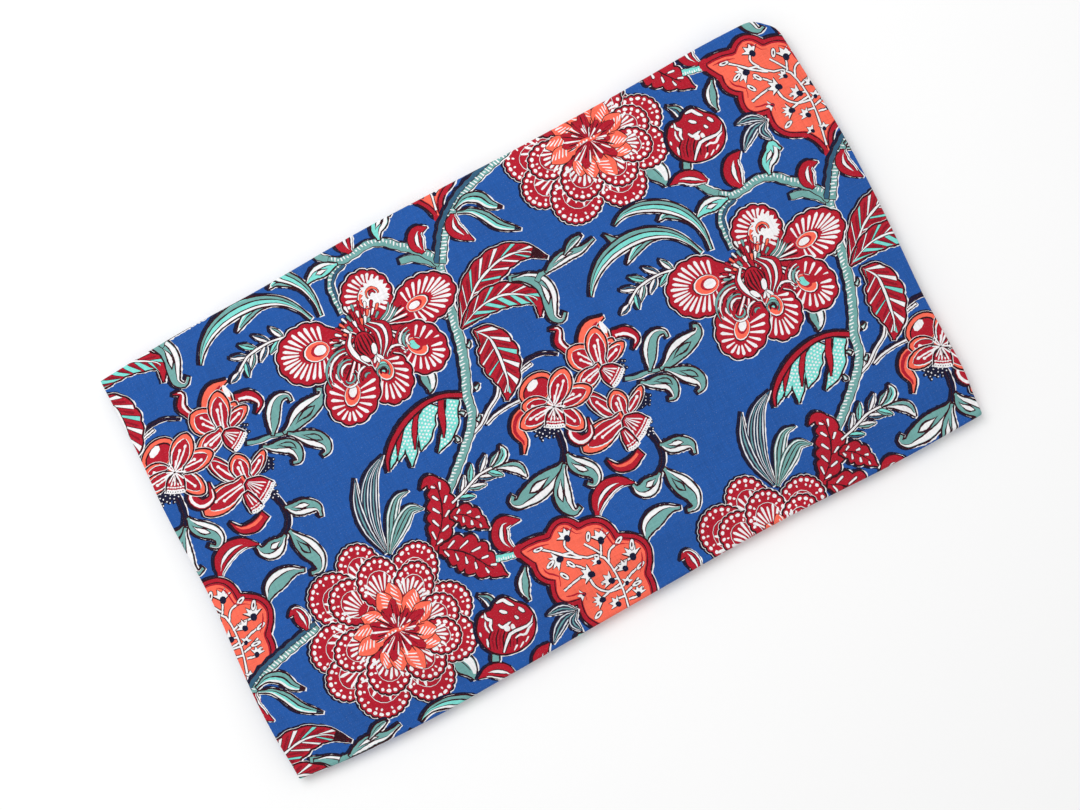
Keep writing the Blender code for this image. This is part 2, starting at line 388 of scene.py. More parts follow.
def cloth_normal(u, v, side):
    """The unit normal of a face of the cloth: the cross product of its slopes along v and u, measured over
    a tenth of a millimetre."""
    step = 0.1 * MM
    u0, u1 = np.maximum(u - step, 0.0), np.minimum(u + step, WIDTH)
    v0, v1 = np.maximum(v - step, 0.0), np.minimum(v + step, CUT_LENGTH)
    normal = np.cross(folded(u, v1, side) - folded(u, v0, side), folded(u1, v, side) - folded(u0, v, side))
    return side * normal / np.maximum(np.linalg.norm(normal, axis=-1, keepdims=True), 1e-12)

# %% [markdown]
# ## Drawing tools for the block cutter
# A printing block is cut by hand from hard wood: outlines, dots and gouged dashes. Here every motif is a
# list of closed outlines, worked out with complex numbers, because then a turn is one multiplication.
# Lengths are in millimetres on the flat cloth, and angles in degrees.

# %% Lines, bands and marks
def turn_by(degrees):
    """The complex number that turns a point by an angle."""
    return np.exp(1j * np.radians(degrees))


def evenly(line, count):
    """The same line with its points evenly spaced along it."""
    run = np.concatenate([[0], np.cumsum(np.abs(np.diff(line)))])
    even = np.linspace(0, run[-1], count)
    return np.interp(even, run, line.real) + 1j * np.interp(even, run, line.imag)


def bent_line(length, bend, hook, count):
    """A line from 0 that sets off along +x: its direction turns evenly by bend degrees over its length, and
    by a further hook degrees near its end, where the turn grows with the fourth power of the distance."""
    share = (np.arange(count - 1) + 0.5) / (count - 1)
    heading = np.radians(bend * share + hook * share**4)
    steps = np.exp(1j * heading) * length / (count - 1)
    return np.concatenate([[0], np.cumsum(steps)])


def through(points, count):
    """A smooth line through a few points, evenly spaced: each span is a cubic whose slope at a point is the
    chord between its neighbours."""
    z = np.array(points, dtype=complex)
    gap = np.abs(np.diff(z))
    place = np.concatenate([[0], np.cumsum(gap)])
    where = np.linspace(0, place[-1], 12 * len(z))
    row = np.clip(np.searchsorted(place, where, side="right") - 1, 0, len(z) - 2)
    fine = cubic(z, np.gradient(z, place), row, (where - place[row]) / gap[row], gap[row])
    return evenly(fine, count)


def sideways(line):
    """Unit normals to the left of a line."""
    along = np.gradient(line)
    return 1j * along / np.maximum(np.abs(along), 1e-9)


def band(line, left, right=None):
    """The closed outline of a band: out along the line's left side and back along its right side."""
    right = left if right is None else right
    side = sideways(line)
    return np.concatenate([line + side * left, (line - side * right)[::-1]])


def swelling(count, fullest, base=0.0):
    """A leaf's half width from its base to its tip, at most 1: a sine arch pushed so that its top is at the
    fullest place, and no narrower than base at the start."""
    t = np.linspace(0, 1, count)
    arch = np.sin(np.pi * t ** (np.log(0.5) / np.log(fullest)))
    return np.maximum(arch, base * (1 - t))


def outward_of(outline):
    """Unit normals that point out of a closed outline, whichever way round it runs."""
    along = np.roll(outline, -1) - np.roll(outline, 1)
    after = np.roll(outline, -1)
    area = np.sum(outline.real * after.imag - after.real * outline.imag)
    return -1j * along / np.maximum(np.abs(along), 1e-9) * np.sign(area)


def grown(outline, by):
    """An outline moved outwards by a distance."""
    return outline + outward_of(outline) * by


def bulged(outline, bumps, depth, start=0.0, stop=1.0):
    """An outline with rounded bumps along the stretch from start to stop, as shares of its length. The
    bumps meet in sharp notches, because the push is the size of a sine."""
    t = np.linspace(0, 1, len(outline), endpoint=False)
    along = np.clip((t - start) / (stop - start), 0.0, 1.0)
    return outline + outward_of(outline) * np.abs(np.sin(np.pi * bumps * along)) * depth


def lobed(corners, count):
    """A closed outline of arcs: each corner is (x, y, rise), and an arc that rises so far outwards, to the
    left of the way on, leads from it to the next corner."""
    spots = [complex(x, y) for x, y, _ in corners]
    t = np.linspace(0, 1, count, endpoint=False)
    parts = []
    for (_, _, rise), start, end in zip(corners, spots, spots[1:] + spots[:1]):
        across = 1j * (end - start) / abs(end - start)
        parts.append(start + (end - start) * t + across * rise * 4 * t * (1 - t))
    return np.concatenate(parts)


def hand_cut(outline, depth, shift=0.0):
    """An outline as a knife leaves it: each point moves by a few sines of its own place, so marks that
    touch move together. The shift gives another block its own slips."""
    x, y = outline.real + shift, outline.imag - shift
    along = np.sin(1.3 * x + 0.9 * y) + np.sin(2.9 * y - 1.7 * x + 1.0)
    across = np.sin(1.1 * y - 1.5 * x + 2.0) + np.sin(2.3 * x + 1.9 * y)
    return outline + depth * (along + 1j * across) / 2


def thinned(outline, tolerance):
    """An outline without needless points: of every two, one goes if it lies within the tolerance of the
    line between its neighbours. This is done three times."""
    for _ in range(3):
        if len(outline) < 8:
            break
        before, after = np.roll(outline, 1), np.roll(outline, -1)
        chord = after - before
        off = np.abs(((outline - before) * np.conj(chord)).imag) / np.maximum(np.abs(chord), 1e-9)
        outline = outline[(off > tolerance) | (np.arange(len(outline)) % 2 == 0)]
    return outline


def oval(at, long, wide, turn=0.0, count=10):
    """An ellipse of two half axes about a point."""
    around = np.linspace(0, 2 * np.pi, count, endpoint=False)
    return at + (long * np.cos(around) + 1j * wide * np.sin(around)) * turn_by(turn)


def dash(start, end, wide, narrow):
    """A gouged dash: a short band with blunt ends, narrow at its start and wide at its end."""
    line = start + (end - start) * np.array([0.0, 0.14, 0.84, 1.0])
    return band(line, np.array([narrow * 0.5, narrow, wide, wide * 0.5]) / 2)


def stroke(points, wide):
    """A drawn stroke through a few points, widest in its middle."""
    return band(through(points, 9), wide / 2 * swelling(9, 0.5, 0.2) ** 0.5 + 0.08)


def star(at, radius, points, inner, turn):
    """A star: its radius alternates between long and short."""
    around = np.arange(2 * points)
    length = np.where(around % 2 == 0, radius, radius * inner)
    return at + length * turn_by(turn + around * 180 / points)

# %% [markdown]
# ## Dyes and the order of the blocks
# Each dye has its own block. The ground block prints the blue and leaves the motifs white, the filling
# blocks add reds, coral and greens, and the outline block prints maroon last. A dark blue block strengthens
# one side. The blocks never land quite true, so white shows along the right and lower sides of a motif, and
# dark blue along its left and upper sides. That is why a motif here has bodies, which the white and the
# dark blue follow, and marks.

# %% Dyes and stamping
BLUE, NAVY, WHITE, MAROON, CRIMSON, DEEP, CORAL, SEA, AQUA, SLATE, WRONG_SIDE = range(11)

FOLLOWERS = (
    # how far the block's shape is grown and slips, how roughly it is cut, and a shift for cuts of its own
    (1.00, -0.90 + 0.70j, 0.45, 3.0, NAVY),      # the dark blue block
    (0.10, 0.54 - 0.44j, 0.40, 7.0, WHITE),      # the white left by the ground block
)
OUTLINE = 1.30        # the maroon line outside a fill
THINNING = 0.09       # how far a line may move when points are saved
KNIFE_SLIP = 0.20     # how roughly the outline and filling blocks are cut


def body(outline, dye, growth=OUTLINE):
    """A filled shape with its printed outline, which the reserve and the dark blue block follow."""
    return [("body", grown(outline, growth), MAROON), ("mark", outline, dye)]


def mark(outline, dye):
    """A shape inside a body."""
    return [("mark", outline, dye)]


def dot(at, long, wide, turn=0.0, count=10, dye=WHITE):
    """An oval mark."""
    return mark(oval(at, long, wide, turn, count), dye)


def gouge(start, end, wide, narrow, dye=WHITE):
    """A dash as a mark."""
    return mark(dash(start, end, wide, narrow), dye)


def inked(outline, dye, line=0.45):
    """A mark with a maroon line round it."""
    return mark(grown(outline, line), MAROON) + mark(outline, dye)


def lined(line, half, dye, ink):
    """A band with maroon ink along both sides."""
    return mark(band(line, half + ink), MAROON) + mark(band(line, half), dye)


def rimmed(outline, dye, rim=0.55):
    """A body with a white line round it, which parts it from the body that it overlaps."""
    return mark(grown(outline, OUTLINE + rim), WHITE) + body(outline, dye)


def placed(motif, x=0.0, y=0.0, turn=0.0, size=1.0):
    """A motif moved to its place: sized, turned, then moved."""
    return [(role, complex(x, y) + size * turn_by(turn) * outline, dye) for role, outline, dye in motif]


def printed(motif):
    """A motif's shapes in the order in which they cover each other: dark blue, reserve, then the rest. Each
    is hand cut, and the two blocks that follow the bodies are cut the least truly."""
    bodies = [outline for role, outline, _ in motif if role == "body"]
    shapes = []
    for growth, slip, depth, shift, dye in FOLLOWERS:
        shapes += [(hand_cut(grown(outline, growth) + slip, depth, shift), dye) for outline in bodies]
    shapes += [(hand_cut(outline, KNIFE_SLIP), dye) for _, outline, dye in motif]
    return [(thinned(outline, THINNING), dye) for outline, dye in shapes]

# %% [markdown]
# ## The orchid
# The largest bloom has six fan-shaped petals round a striped throat. A fan petal is an ellipse drawn in to
# a point at its base, with a scalloped rim. Inside it stands an eye of nested horseshoes, and white wedges
# radiate from the eye to the rim, as a gouge leaves them.

# %% A fan petal
def fan_shape(length, width, scallops):
    """A shell: straight sides from the base at 0 to an elliptical far end with a scalloped rim."""
    around = np.radians(np.linspace(-112, 112, 54))
    rim = 0.60 * length + 0.40 * length * np.cos(around) + 1j * width / 2 * np.sin(around)
    outline = evenly(np.concatenate([[0], rim, [0]]), 79)[:-1]
    return bulged(outline, scallops, 1.5, 0.16, 0.84)


def horseshoes(at, long, wide, heart):
    """An eye: nested ovals, each set back towards the petal's base, in maroon, white, coral and crimson."""
    motif = []
    for share, dye in ((1.0, MAROON), (0.93, WHITE), (0.86, CORAL), (0.60, CRIMSON), (0.46, heart)):
        back = (1 - share) * long * 0.55
        motif += dot(at - back, long * share, wide * share, 0, 14, dye=dye)
    return motif


def fan_petal(length, width, scallops, dashes, eye, eye_size, heart):
    """A crimson fan petal with its horseshoe eye and its white wedges, long and short by turns."""
    motif = rimmed(fan_shape(length, width, scallops), CRIMSON)
    for k, angle in enumerate(np.linspace(-118, 118, dashes)):
        a = np.radians(angle)
        reach = 0.60 * length + 0.40 * length * np.cos(a) + 0.5j * width * np.sin(a)
        start = eye * length + (eye_size + 0.03) * (length * np.cos(a) + 0.8j * width * np.sin(a))
        run, short = reach - start, k % 2
        motif += gouge(start + run * 0.04 * short, start + run * (0.90 - 0.06 * short), 2.35, 1.1)
    for k, lean in enumerate((-13, -7, 0, 7, 13)):
        far = (eye - eye_size) * length * turn_by(lean)
        motif += gouge(2 + 0j, far, 1.5, 0.8, dye=(MAROON, WHITE)[k % 2])
    return motif + horseshoes(eye * length, 0.92 * eye_size * length, eye_size * width, heart)


# %% The throat and the whole orchid
FAN_PETALS = (
    # base x, y, turn, length, width, scallops, dashes, eye, eye size, heart
    (-4.0, 2.0, 60, 46.0, 35.0, 10, 17, 0.60, 0.20, WHITE),
    (-10.0, 5.0, 171, 59.0, 41.0, 10, 19, 0.53, 0.19, WHITE),
    (9.0, 2.5, 3, 60.0, 32.0, 10, 17, 0.52, 0.17, WHITE),
    (9.0, 2.0, -56, 53.0, 33.0, 8, 14, 0.58, 0.19, AQUA),
    (-3.0, -6.0, -88, 45.0, 31.0, 8, 13, 0.46, 0.21, AQUA),
    (-10.0, 0.0, -125, 57.0, 37.0, 9, 15, 0.66, 0.17, WHITE),
)
CURLED_PETALS = (
    # middle, radii, first and last angle, dyes, width
    (-26 - 15j, (17, 14.2, 11.4, 8.6, 5.8, 3.2), 52, 196, (SEA, WHITE, CRIMSON, SEA, WHITE, DEEP)),
    (-27.5 - 19j, (6.5, 3.8), 180, 400, (WHITE, SEA), 1.4),
    (25 - 17j, (12, 9.4, 6.8, 4.2), 84, 226, (CRIMSON, WHITE, SEA, WHITE)),
    (-15 - 25j, (8, 5.2, 2.6), 40, 190, (WHITE, CRIMSON, SEA), 1.5),
    (10 - 22j, (7.5, 4.8), 20, 160, (WHITE, CRIMSON), 1.5),
)


def arcs(at, radii, first, last, dyes, wide=1.7):
    """Nested arcs about a point, the widest first, each with a maroon edge."""
    motif = []
    for k, radius in enumerate(radii):
        line = at + radius * turn_by(np.linspace(first + 4 * (k % 2), last - 6 * (k % 3), 11))
        motif += lined(line, wide / 2 * swelling(11, 0.5, 0.5), dyes[k % len(dyes)], 0.45)
    return motif


def throat():
    """A crimson oval with upright stripes, held by nested white and crimson curves that open upwards."""
    motif = []
    curves = (
        # how far from the throat's middle line, and how wide
        (20.5, 3.0, CRIMSON), (17.0, 2.6, WHITE), (14.0, 2.6, CRIMSON),
        (11.6, 1.5, WHITE), (9.4, 2.0, CRIMSON),
        (-13.0, 2.6, CRIMSON), (-10.6, 3.0, WHITE),
    )
    for away, wide, dye in curves:
        bends = (0.55, 9), (0.98, 2), (0.92, -7), (0.42, -18)
        points = [complex(-7 + share * away, y) for share, y in bends]
        half = wide / 2 * np.maximum(swelling(15, 0.45, 0.6), 0.25)
        motif += lined(through(points, 15), half, dye, 0.6)
    motif += inked(oval(-7.2 - 4.2j, 7.2, 10.2, 0, 20), CRIMSON, 0.9)
    for x in (-12, -9.6, -7.2, -4.8, -2.6):
        top = complex(x, 4.2 - 0.10 * (x + 7) ** 2)
        waist, foot = complex(x + 0.25 * (x + 7), -4), complex(-7 + 0.5 * (x + 7), -12.5)
        motif += mark(stroke([top, waist, foot], 1.1), MAROON)
    motif += inked(oval(-2.6 - 9.4j, 2.0, 4.2, -14), WHITE) + inked(oval(-11.5 - 12.6j, 1.7, 4.4, 38), WHITE)
    for turn in (-130, -95, -60):
        motif += placed(inked(oval(3.6, 3.2, 1.1, 0, 8), WHITE), -3, -13.5, turn)
    return motif


def orchid():
    """Six fan petals round the throat, with curled and dashed inner petals between them."""
    motif = placed(green_tongue(), 22, -40, -82)
    motif += body(oval(-3 - 2j, 25, 21, 0, 20), CRIMSON)
    for x, y, turn, *petal in FAN_PETALS:
        motif += placed(fan_petal(*petal), x, y, turn)
    # the pointed corner of the lower right petal, and the white arch with its rays on the upper one
    motif += placed(mark(lobed(((24, 4, -1.5), (42, 14, 1.5), (33, 1, 1.0)), 5), CRIMSON), 9, 2, -56)
    motif += mark(star(16.4 + 26.0j, 11.5, 17, 0.74, 6), WHITE)
    motif += arcs(14.5 + 26.0j, (4.6, 2.2), -20, 200, (CORAL, CRIMSON))
    # dabs in rows above the throat
    for k, angle in enumerate(np.linspace(34, 152, 13)):
        for row, radius in enumerate((12.5, 18.5, 24.0)[: 3 if k < 6 else 2]):
            start = -6 - 2j + (radius + 1.2 * (k % 2)) * turn_by(angle + 5 * row)
            dye = (WHITE, CRIMSON, SEA, WHITE, CORAL, CRIMSON)[(k + 2 * row) % 6]
            motif += inked(dash(start, start + 5.0 * turn_by(angle + 5 * row), 2.0, 1.3), dye, 0.5)
    # hairs to the right
    for k in range(5):
        line = 10 + (1.5 + 1.2 * k) * 1j, 18 + (4.0 + 1.5 * k) * 1j, 26 - k + (8.5 + 1.6 * k) * 1j
        motif += inked(stroke(line, 1.1), (SEA, WHITE)[k % 2])
    for curl in CURLED_PETALS:
        motif += arcs(*curl)
    return motif + throat() + arcs(-4 - 27j, (4.6, 2.2), -60, 210, (SEA, MAROON), 1.5)


def green_tongue(length=18.0, width=10.0):
    """The small leaf that hangs below a flower: one half white, one half green."""
    line = bent_line(length, -28, -30, 13)
    half = width / 2 * swelling(13, 0.38, 0.5)
    motif = body(band(line, half), SEA)
    motif += mark(band((line + sideways(line) * half * 0.55)[:11], half[:11] * 0.38), WHITE)
    return motif + mark(band(line[:9], 0.35), MAROON)

# %% [markdown]
# ## The bunch of lilies
# Three lilies share a stalk. A lily's petal is a band that swells and closes: coral at its edge, then a
# white line, then a crimson heart with white strokes that end in dots. The open lily is seen from the
# front; the other two turn away, so they also show a striped skirt with a beaded hem. Curled tips hang from
# some of the petals.

# %% Lily petals
def lily_petal(length, width, bend, hook=0, strokes=2, edge=CORAL):
    """One petal: nested bands in coral, white, maroon and crimson, with strokes and dots inside."""
    line = bent_line(length, bend, hook, 23)
    half = width / 2 * swelling(23, 0.58, 0.5) ** 0.62
    side = sideways(line)
    motif = rimmed(band(line, half), edge, 0.35)
    heart = slice(1, 20)
    core = width * 0.36 * swelling(19, 0.52, 0.6) ** 0.7
    motif += mark(band(line[heart], core + 1.35, core + 1.0), WHITE) + lined(line[heart], core, CRIMSON, 0.45)
    for k in range(strokes):
        away = (k - (strokes - 1) / 2) * 0.40
        pin = slice(2, 16 - 3 * (k % 2))
        drawn = line[pin] + side[pin] * away * half[pin]
        motif += mark(band(drawn, 0.62), WHITE) + dot(drawn[-1], 1.35, 1.15, 0, 8)
    return motif


def claw(points, width, dye, glint):
    """A curled petal tip: a band through a few points that ends in a hook, with a pale line along it."""
    line = through(points, 15)
    half = width / 2 * np.maximum(swelling(15, 0.35, 0.9), 0.05)
    motif = body(band(line, half), dye)
    return motif + mark(band((line - sideways(line) * half * 0.45)[1:13], half[1:13] * 0.30 + 0.1), glint)


def skirt(length, width, stripes):
    """A lily's throat from the side: a crimson cone with white pleats and a beaded hem."""
    corners = through((1.8j, length * 0.40 + width * 0.42j, length + width * 0.5j), 9)
    hem = length * (1 + 0.10 * np.cos(np.linspace(-1.2, 1.2, 9))) + 1j * np.linspace(width / 2, -width / 2, 9)
    motif = rimmed(np.concatenate([corners, hem, np.conj(corners)[::-1]]), CRIMSON, 0.4)
    for k in range(2 * stripes):
        t = (k + 0.5) / (2 * stripes) * 2 - 1
        far = length * (0.60 + 0.16 * (k % 2))
        motif += gouge(complex(1.0, t), complex(far, t * width * 0.42), 1.2, 0.6, dye=(DEEP, WHITE)[k % 2])
    beads = int(width / 1.7)
    for k in range(beads):
        t = (k + 0.5) / beads * 2 - 1
        bead = complex(length * (1.02 + 0.08 * np.cos(1.2 * t)), t * width * 0.50)
        motif += dot(bead, 1.65, 1.4, 40 * k, 8) + dot(bead - 2.9, 0.6, 1.0, 0, 6)
        motif += dot(bead + 0.2, 0.45, 0.45, 0, 5, dye=MAROON)
    return motif


def stamens(x, y, wide, tall, count, size=0.85):
    """A spray of dark blue grains, each with a white dot beside it, at the points of a sunflower spiral
    that is squeezed into an oval."""
    k = np.arange(count)
    spiral = np.sqrt((k + 0.5) / count) * turn_by(137.5 * k)
    places = [complex(x + wide * z.real, y + tall * z.imag) for z in spiral]
    motif = []
    for z in places:
        motif += dot(z, 1.75, 1.45, 20 * z.real, 8, dye=NAVY)
    for z in places:
        motif += dot(z + (0.5 - 0.4j), size * 0.72, size * 0.55, 30 * z.imag, 6)
    return motif


# %% The bunch
def open_lily():
    """The lily seen from the front: five petals round a striped heart, a hood behind them, and two
    claws."""
    motif = claw((-12+2j, -25+5j, -31.5-3j, -30-12j, -34-19.5j), 9.5, CORAL, CRIMSON)
    motif += claw((8-16j, 3.5-24j, 8-31j, 15.5-30j, 18.5-19j), 7.0, CRIMSON, WHITE)
    motif += rimmed(oval(-5.5 + 17.5j, 13.5, 9.5, 12, 20), CORAL, 0.3)
    motif += dot(-5.5 + 16.6j, 11.5, 7.8, 12, 18, dye=MAROON)
    motif += dot(-5.5 + 16j, 10.6, 7.0, 12, 18, dye=CRIMSON) + dot(-7.0 + 20.8j, 5.2, 3.0, 24, 8)
    # turn, length, width, bend, hook, strokes
    for turn, *petal in ((148, 23, 12, 8, 14, 1), (181, 28, 12.5, 6, 0, 2), (-58, 27, 12.5, -8, 0, 1),
                         (1, 30, 13.5, -6, 0, 2), (45, 28, 15.5, 4, 0, 2)):
        motif += placed(lily_petal(*petal), turn=turn)
    motif += placed(skirt(12, 13, 4), 0.5, -1, -116)
    for k in range(18):
        way = turn_by(20 * k + 5 * np.sin(2.1 * k))
        motif += gouge(0.8 * way, (6.5 + 2.0 * (k % 2)) * way, 1.2, 0.7, dye=(WHITE, MAROON, WHITE)[k % 3])
    return motif


def upper_lily():
    """The lily above right, turned away: petals with a hood and horns, and its skirt."""
    motif = claw((-16+22j, -19+31j, -15+39.5j, -20.5+42j), 5.6, CRIMSON, WHITE)
    motif += claw((-3+4j, 19j, 7+30j, 18+31.5j), 16.0, CORAL, CRIMSON)
    motif += rimmed(band(through((3+6j, 9+16j, 13.5+28j), 9), 4.6 * swelling(9, 0.6, 0.8) + 0.4), CORAL, 0.3)
    motif += dot(14.5 + 25j, 2.0, 5.2, 4, 8)
    motif += placed(lily_petal(25, 17.5, -8), -1, 2, 130)
    motif += claw((18+17j, 28+14j, 32.5+6j, 27+0.5j), 6.5, CRIMSON, WHITE)
    petals = (46, 22, 9, -10, 0, 1), (24, 24, 9, -8, 0, 1), (78, 29, 14.5, -10), (190, 23, 13, 8)
    for turn, *petal in petals:
        motif += placed(lily_petal(*petal), turn=turn)
    return motif + placed(skirt(13, 14, 4), 0, -1, -56)


def lower_lily():
    """The lily below: a broad petal to the left, three small ones above, a curled tip under its skirt."""
    motif = claw((1-28j, -10-32j, -19-29.5j, -23.5-21.5j), 7.0, CRIMSON, CORAL)
    for turn, *petal in ((24, 25, 7, 14, 12, 1), (138, 34, 10, -40, 20, 1, CRIMSON), (88, 20, 13.5, -4)):
        motif += placed(lily_petal(*petal), turn=turn)
    motif += placed(lily_petal(37, 17.5, 10, 8), 0, -1, 184)
    return motif + placed(skirt(16, 18, 5), 0, -1, -58) + placed(skirt(13, 8, 2), -4, -8, -82)


def lily_bunch():
    """The open lily on the left, one above right, one below, and the dark grains between them."""
    motif = dot(-27 - 15j, 9.0, 4.8, -8, 12, dye=NAVY) + stamens(-27, -15, 10.5, 6.5, 24)
    motif += dot(44.5 - 30j, 7.0, 4.4, 24, 12, dye=NAVY) + stamens(42, 0, 3.5, 7, 10, 0.6)
    motif += stamens(45, -30, 8, 5.0, 13, 0.6) + stamens(40, -48, 5, 7, 12)
    motif += placed(upper_lily(), 28.0, 6.0) + placed(lower_lily(), 27.2, -33.5)
    return motif + placed(open_lily(), -15.3, -2.5)

# %% [markdown]
# ## The peony
# A full round bloom in three rings. Outside and halfway in are scalloped petals with a row of white dots
# along the rim and a fan of white wedges from the base; then comes a ring of pointed coral petals with
# slanting white hatching; and in the middle a burst of crimson strokes. The petals were cut freely, so each
# has its own row.

# %% Peony petals
SQUASH = 0.88       # a round petal's width as a share of its length
OUTER_PETALS = (
    # x, y, radius
    (-7, 46, 16), (-31, 34, 19), (29, 26, 18), (-43, 2, 19), (-44, -20, 17),
    (-28, -38, 20), (5, -43, 19), (38, -8, 18), (31, -28, 18),
)
INNER_PETALS = (
    (-21, 27, 16), (2, 31, 16), (24, 17, 15), (-32, -5, 15),
    (31, -9, 14), (-18, -28, 16), (8, -32, 15), (26, -24, 13),
)


def dotted_petal(radius, wedges):
    """A round petal whose base points along -x: its rim is scalloped with a white dot in each scallop,
    smaller dots follow inside it, and white wedges stand on a crimson heart."""
    dots = int(2 * np.pi * radius / 5.3)
    motif = rimmed(bulged(oval(0, radius, radius * SQUASH, 0, 5 * dots), dots, 1.1), CRIMSON, 0.35)
    for k in range(dots):
        place = (k + 0.5) / dots * 360
        if abs((place + 180) % 360 - 180) < 125:
            a = np.radians(place)
            at = (radius - 1.5) * (np.cos(a) + 1j * SQUASH * np.sin(a))
            motif += dot(at, 1.75 - 0.25 * (k % 3), 1.35, place + 90, 8)
            if k % 2 == 0:
                motif += dot(at * (radius - 5.0) / (radius - 1.5), 1.1, 0.8, place, 6)
    heart = oval(-0.16 * radius, radius * 0.62, radius * 0.62 * SQUASH, 0, 16)
    motif += mark(grown(heart, 0.75), WHITE) + inked(heart, CRIMSON, 0.35)
    root = -0.82 * radius + 0j
    for k in range(wedges):
        lean = ((k + 0.5) / wedges * 2 - 1) * 54
        far = radius * (1.20 - 0.10 * (k % 2)) * (1 - 0.10 * (lean / 54) ** 2)
        motif += gouge(root + radius * 0.40 * turn_by(lean), root + far * turn_by(lean), 2.0, 0.9)
    return motif


def hatched_petal(length, width):
    """A pointed coral petal with a maroon line round it and slanting white hatching on one side."""
    half = width / 2 * swelling(13, 0.52, 0.8) ** 0.8
    motif = inked(band(bent_line(length, 14, 10, 13), half), CORAL, 0.55)
    for k in range(5):
        start = length * (0.24 + 0.13 * k)
        away = width * (0.36 - 0.05 * k)
        motif += gouge(complex(start, -away), complex(start + width * 0.32, away * 0.7), 0.95, 0.6)
    return motif


def peony():
    """Nine outer petals, eight inner ones, twelve coral petals and the burst."""
    motif = placed(green_tongue(22, 14), 27, -42, -58)
    motif += body(oval(-3 - 4j, 46, 45, 0, 36), CRIMSON)
    for rows, wedges in ((OUTER_PETALS, 7), (INNER_PETALS, 8)):
        for x, y, radius in rows:
            motif += placed(dotted_petal(radius, wedges), x, y, np.degrees(np.angle(complex(x, y + 5))))
    for k in range(12):
        turn = 36 + 360 / 12 * k + 7 * np.sin(2.3 * k)
        reach = 31.5 + 3.0 * np.sin(1.7 * k)
        a = np.radians(turn)
        x, y = 0.5 + 0.34 * reach * np.cos(a), -5.5 + 0.34 * reach * np.sin(a)
        motif += placed(hatched_petal(reach * 0.64, 13), x, y, turn)
    a = np.linspace(0, 2 * np.pi, 66, endpoint=False)
    middle = 0.5 - 5.5j
    reach = 16.5 + 4.0 * np.sin(5 * a + 0.6) + 3.0 * np.sin(11 * a)
    motif += inked(middle + reach * np.exp(1j * a), CRIMSON)
    for k in range(60):
        way = turn_by(360 / 60 * k + 4 * np.sin(3 * k))
        near, far = 2.0 + 3.0 * (k % 3), 14.5 + 5.0 * np.sin(1.9 * k)
        dye = (MAROON, DEEP, WHITE, MAROON, DEEP, MAROON, WHITE)[k % 7]
        motif += gouge(middle + near * way, middle + far * way, 1.5 if dye == WHITE else 1.0, 0.5, dye=dye)
    motif += mark(stroke((-12-7.5j, -3-4j, 3-6j, 11-5j), 2.4), CORAL)
    for x in (-9, -6.4, -3.8, -1.2, 2.2, 4.8):
        motif += dot(x - 5.2j, 0.8, 0.8, 0, 6)
    return motif

# %% [markdown]
# ## The palmette
# A leaning leaf shape with rounded lobes, coral inside a crimson border. A white branching sprig grows in
# it from the base, with star flowers that have dark blue hearts.

# %% The palmette and its sprig
LOBES = (
    # x, y and how far the arc to the next corner rises
    (1, -68, -2.5), (-8, -46, 8.5), (-21, -19, 9.5), (-32, 1, 4.0), (-38.5, 18, 0.5), (-45, 31, 1.5),
    (-22, 28, 8.0), (-1, 24, 8.0), (19, 5, 12.5), (27, -27, 6.5), (12, -50, -2.5),
)
SPRIG = (
    (1-62j, 5-46j, 8.5-24j, 7.5-8j, 5, -8+5j, -13+12j, -20+14j),
    (7.5-14j, 14-12j, 23-12j), (7-8j, 12, 18+2j), (5, 8+6j, 10+10j), (-12+11j, -15+18j, -12+24j),
    (-8+5j, -14+9j, -28+22j, -33+26j), (8-20j, -18j, -4-18j), (8-27j, -2-25j, -9-17j, -10-8j),
    (9-27j, 18-22j, 27-20j), (9-32j, 16-30j, 22-27j), (8.5-24j, -4-26j, -12-28j),
    (9-37j, 16-38j, 22-34j), (5+2j, 10j, -2+13j), (-10-6j, -20-7j, -30-9j), (-8-5j, -14+2j, -20+6j),
    (8-34j, 3-33j, -2-33j),
)
SPRIG_FLOWERS = (
    # x, y, turn, size, petals
    (-23, 12, 178, 1.35, 5), (-11, 23, 100, 1.25, 4), (10, 10, 76, 1.35, 4), (25, -11, 80, 1.35, 5),
    (-8, -8, 150, 1.3, 4), (3, -19, 140, 1.2, 4), (16, -16, 110, 1.1, 4), (-9, -28, 165, 1.15, 5),
    (0, -36, 130, 1.05, 4), (17, -37, 60, 1.0, 4), (1, -3, 120, 0.9, 4),
    (13, -26, 60, 0.8, 3), (-19, -18, 170, 0.8, 3), (6, -50, 70, 0.8, 3), (-3, -48, 120, 0.8, 3),
)
SPRIG_LEAVES = (
    # x, y, turn
    (-33, 25.5, 172), (-25, 0, 120), (28, -4, 60), (27, -20, 20), (21, 3, 24), (-17, 5, 120),
    (-30, 12, 200), (3, 16, 60), (19, -30, 0), (-16, -36, 200),
)


def tulip(x, y, turn, size, points):
    """A white flower of pointed petals in a fan, with a maroon line and a dark blue heart at its base."""
    reach = np.where(np.arange(2 * points - 1) % 2 == 0, 5.8, 3.3)
    outline = np.concatenate([[-1.2], reach * turn_by(np.linspace(-62, 62, 2 * points - 1))])
    flower = inked(outline, WHITE, 0.7) + dot(-0.6, 2.2, 1.9, 0, 9, dye=NAVY)
    return placed(flower, x, y, turn, size)


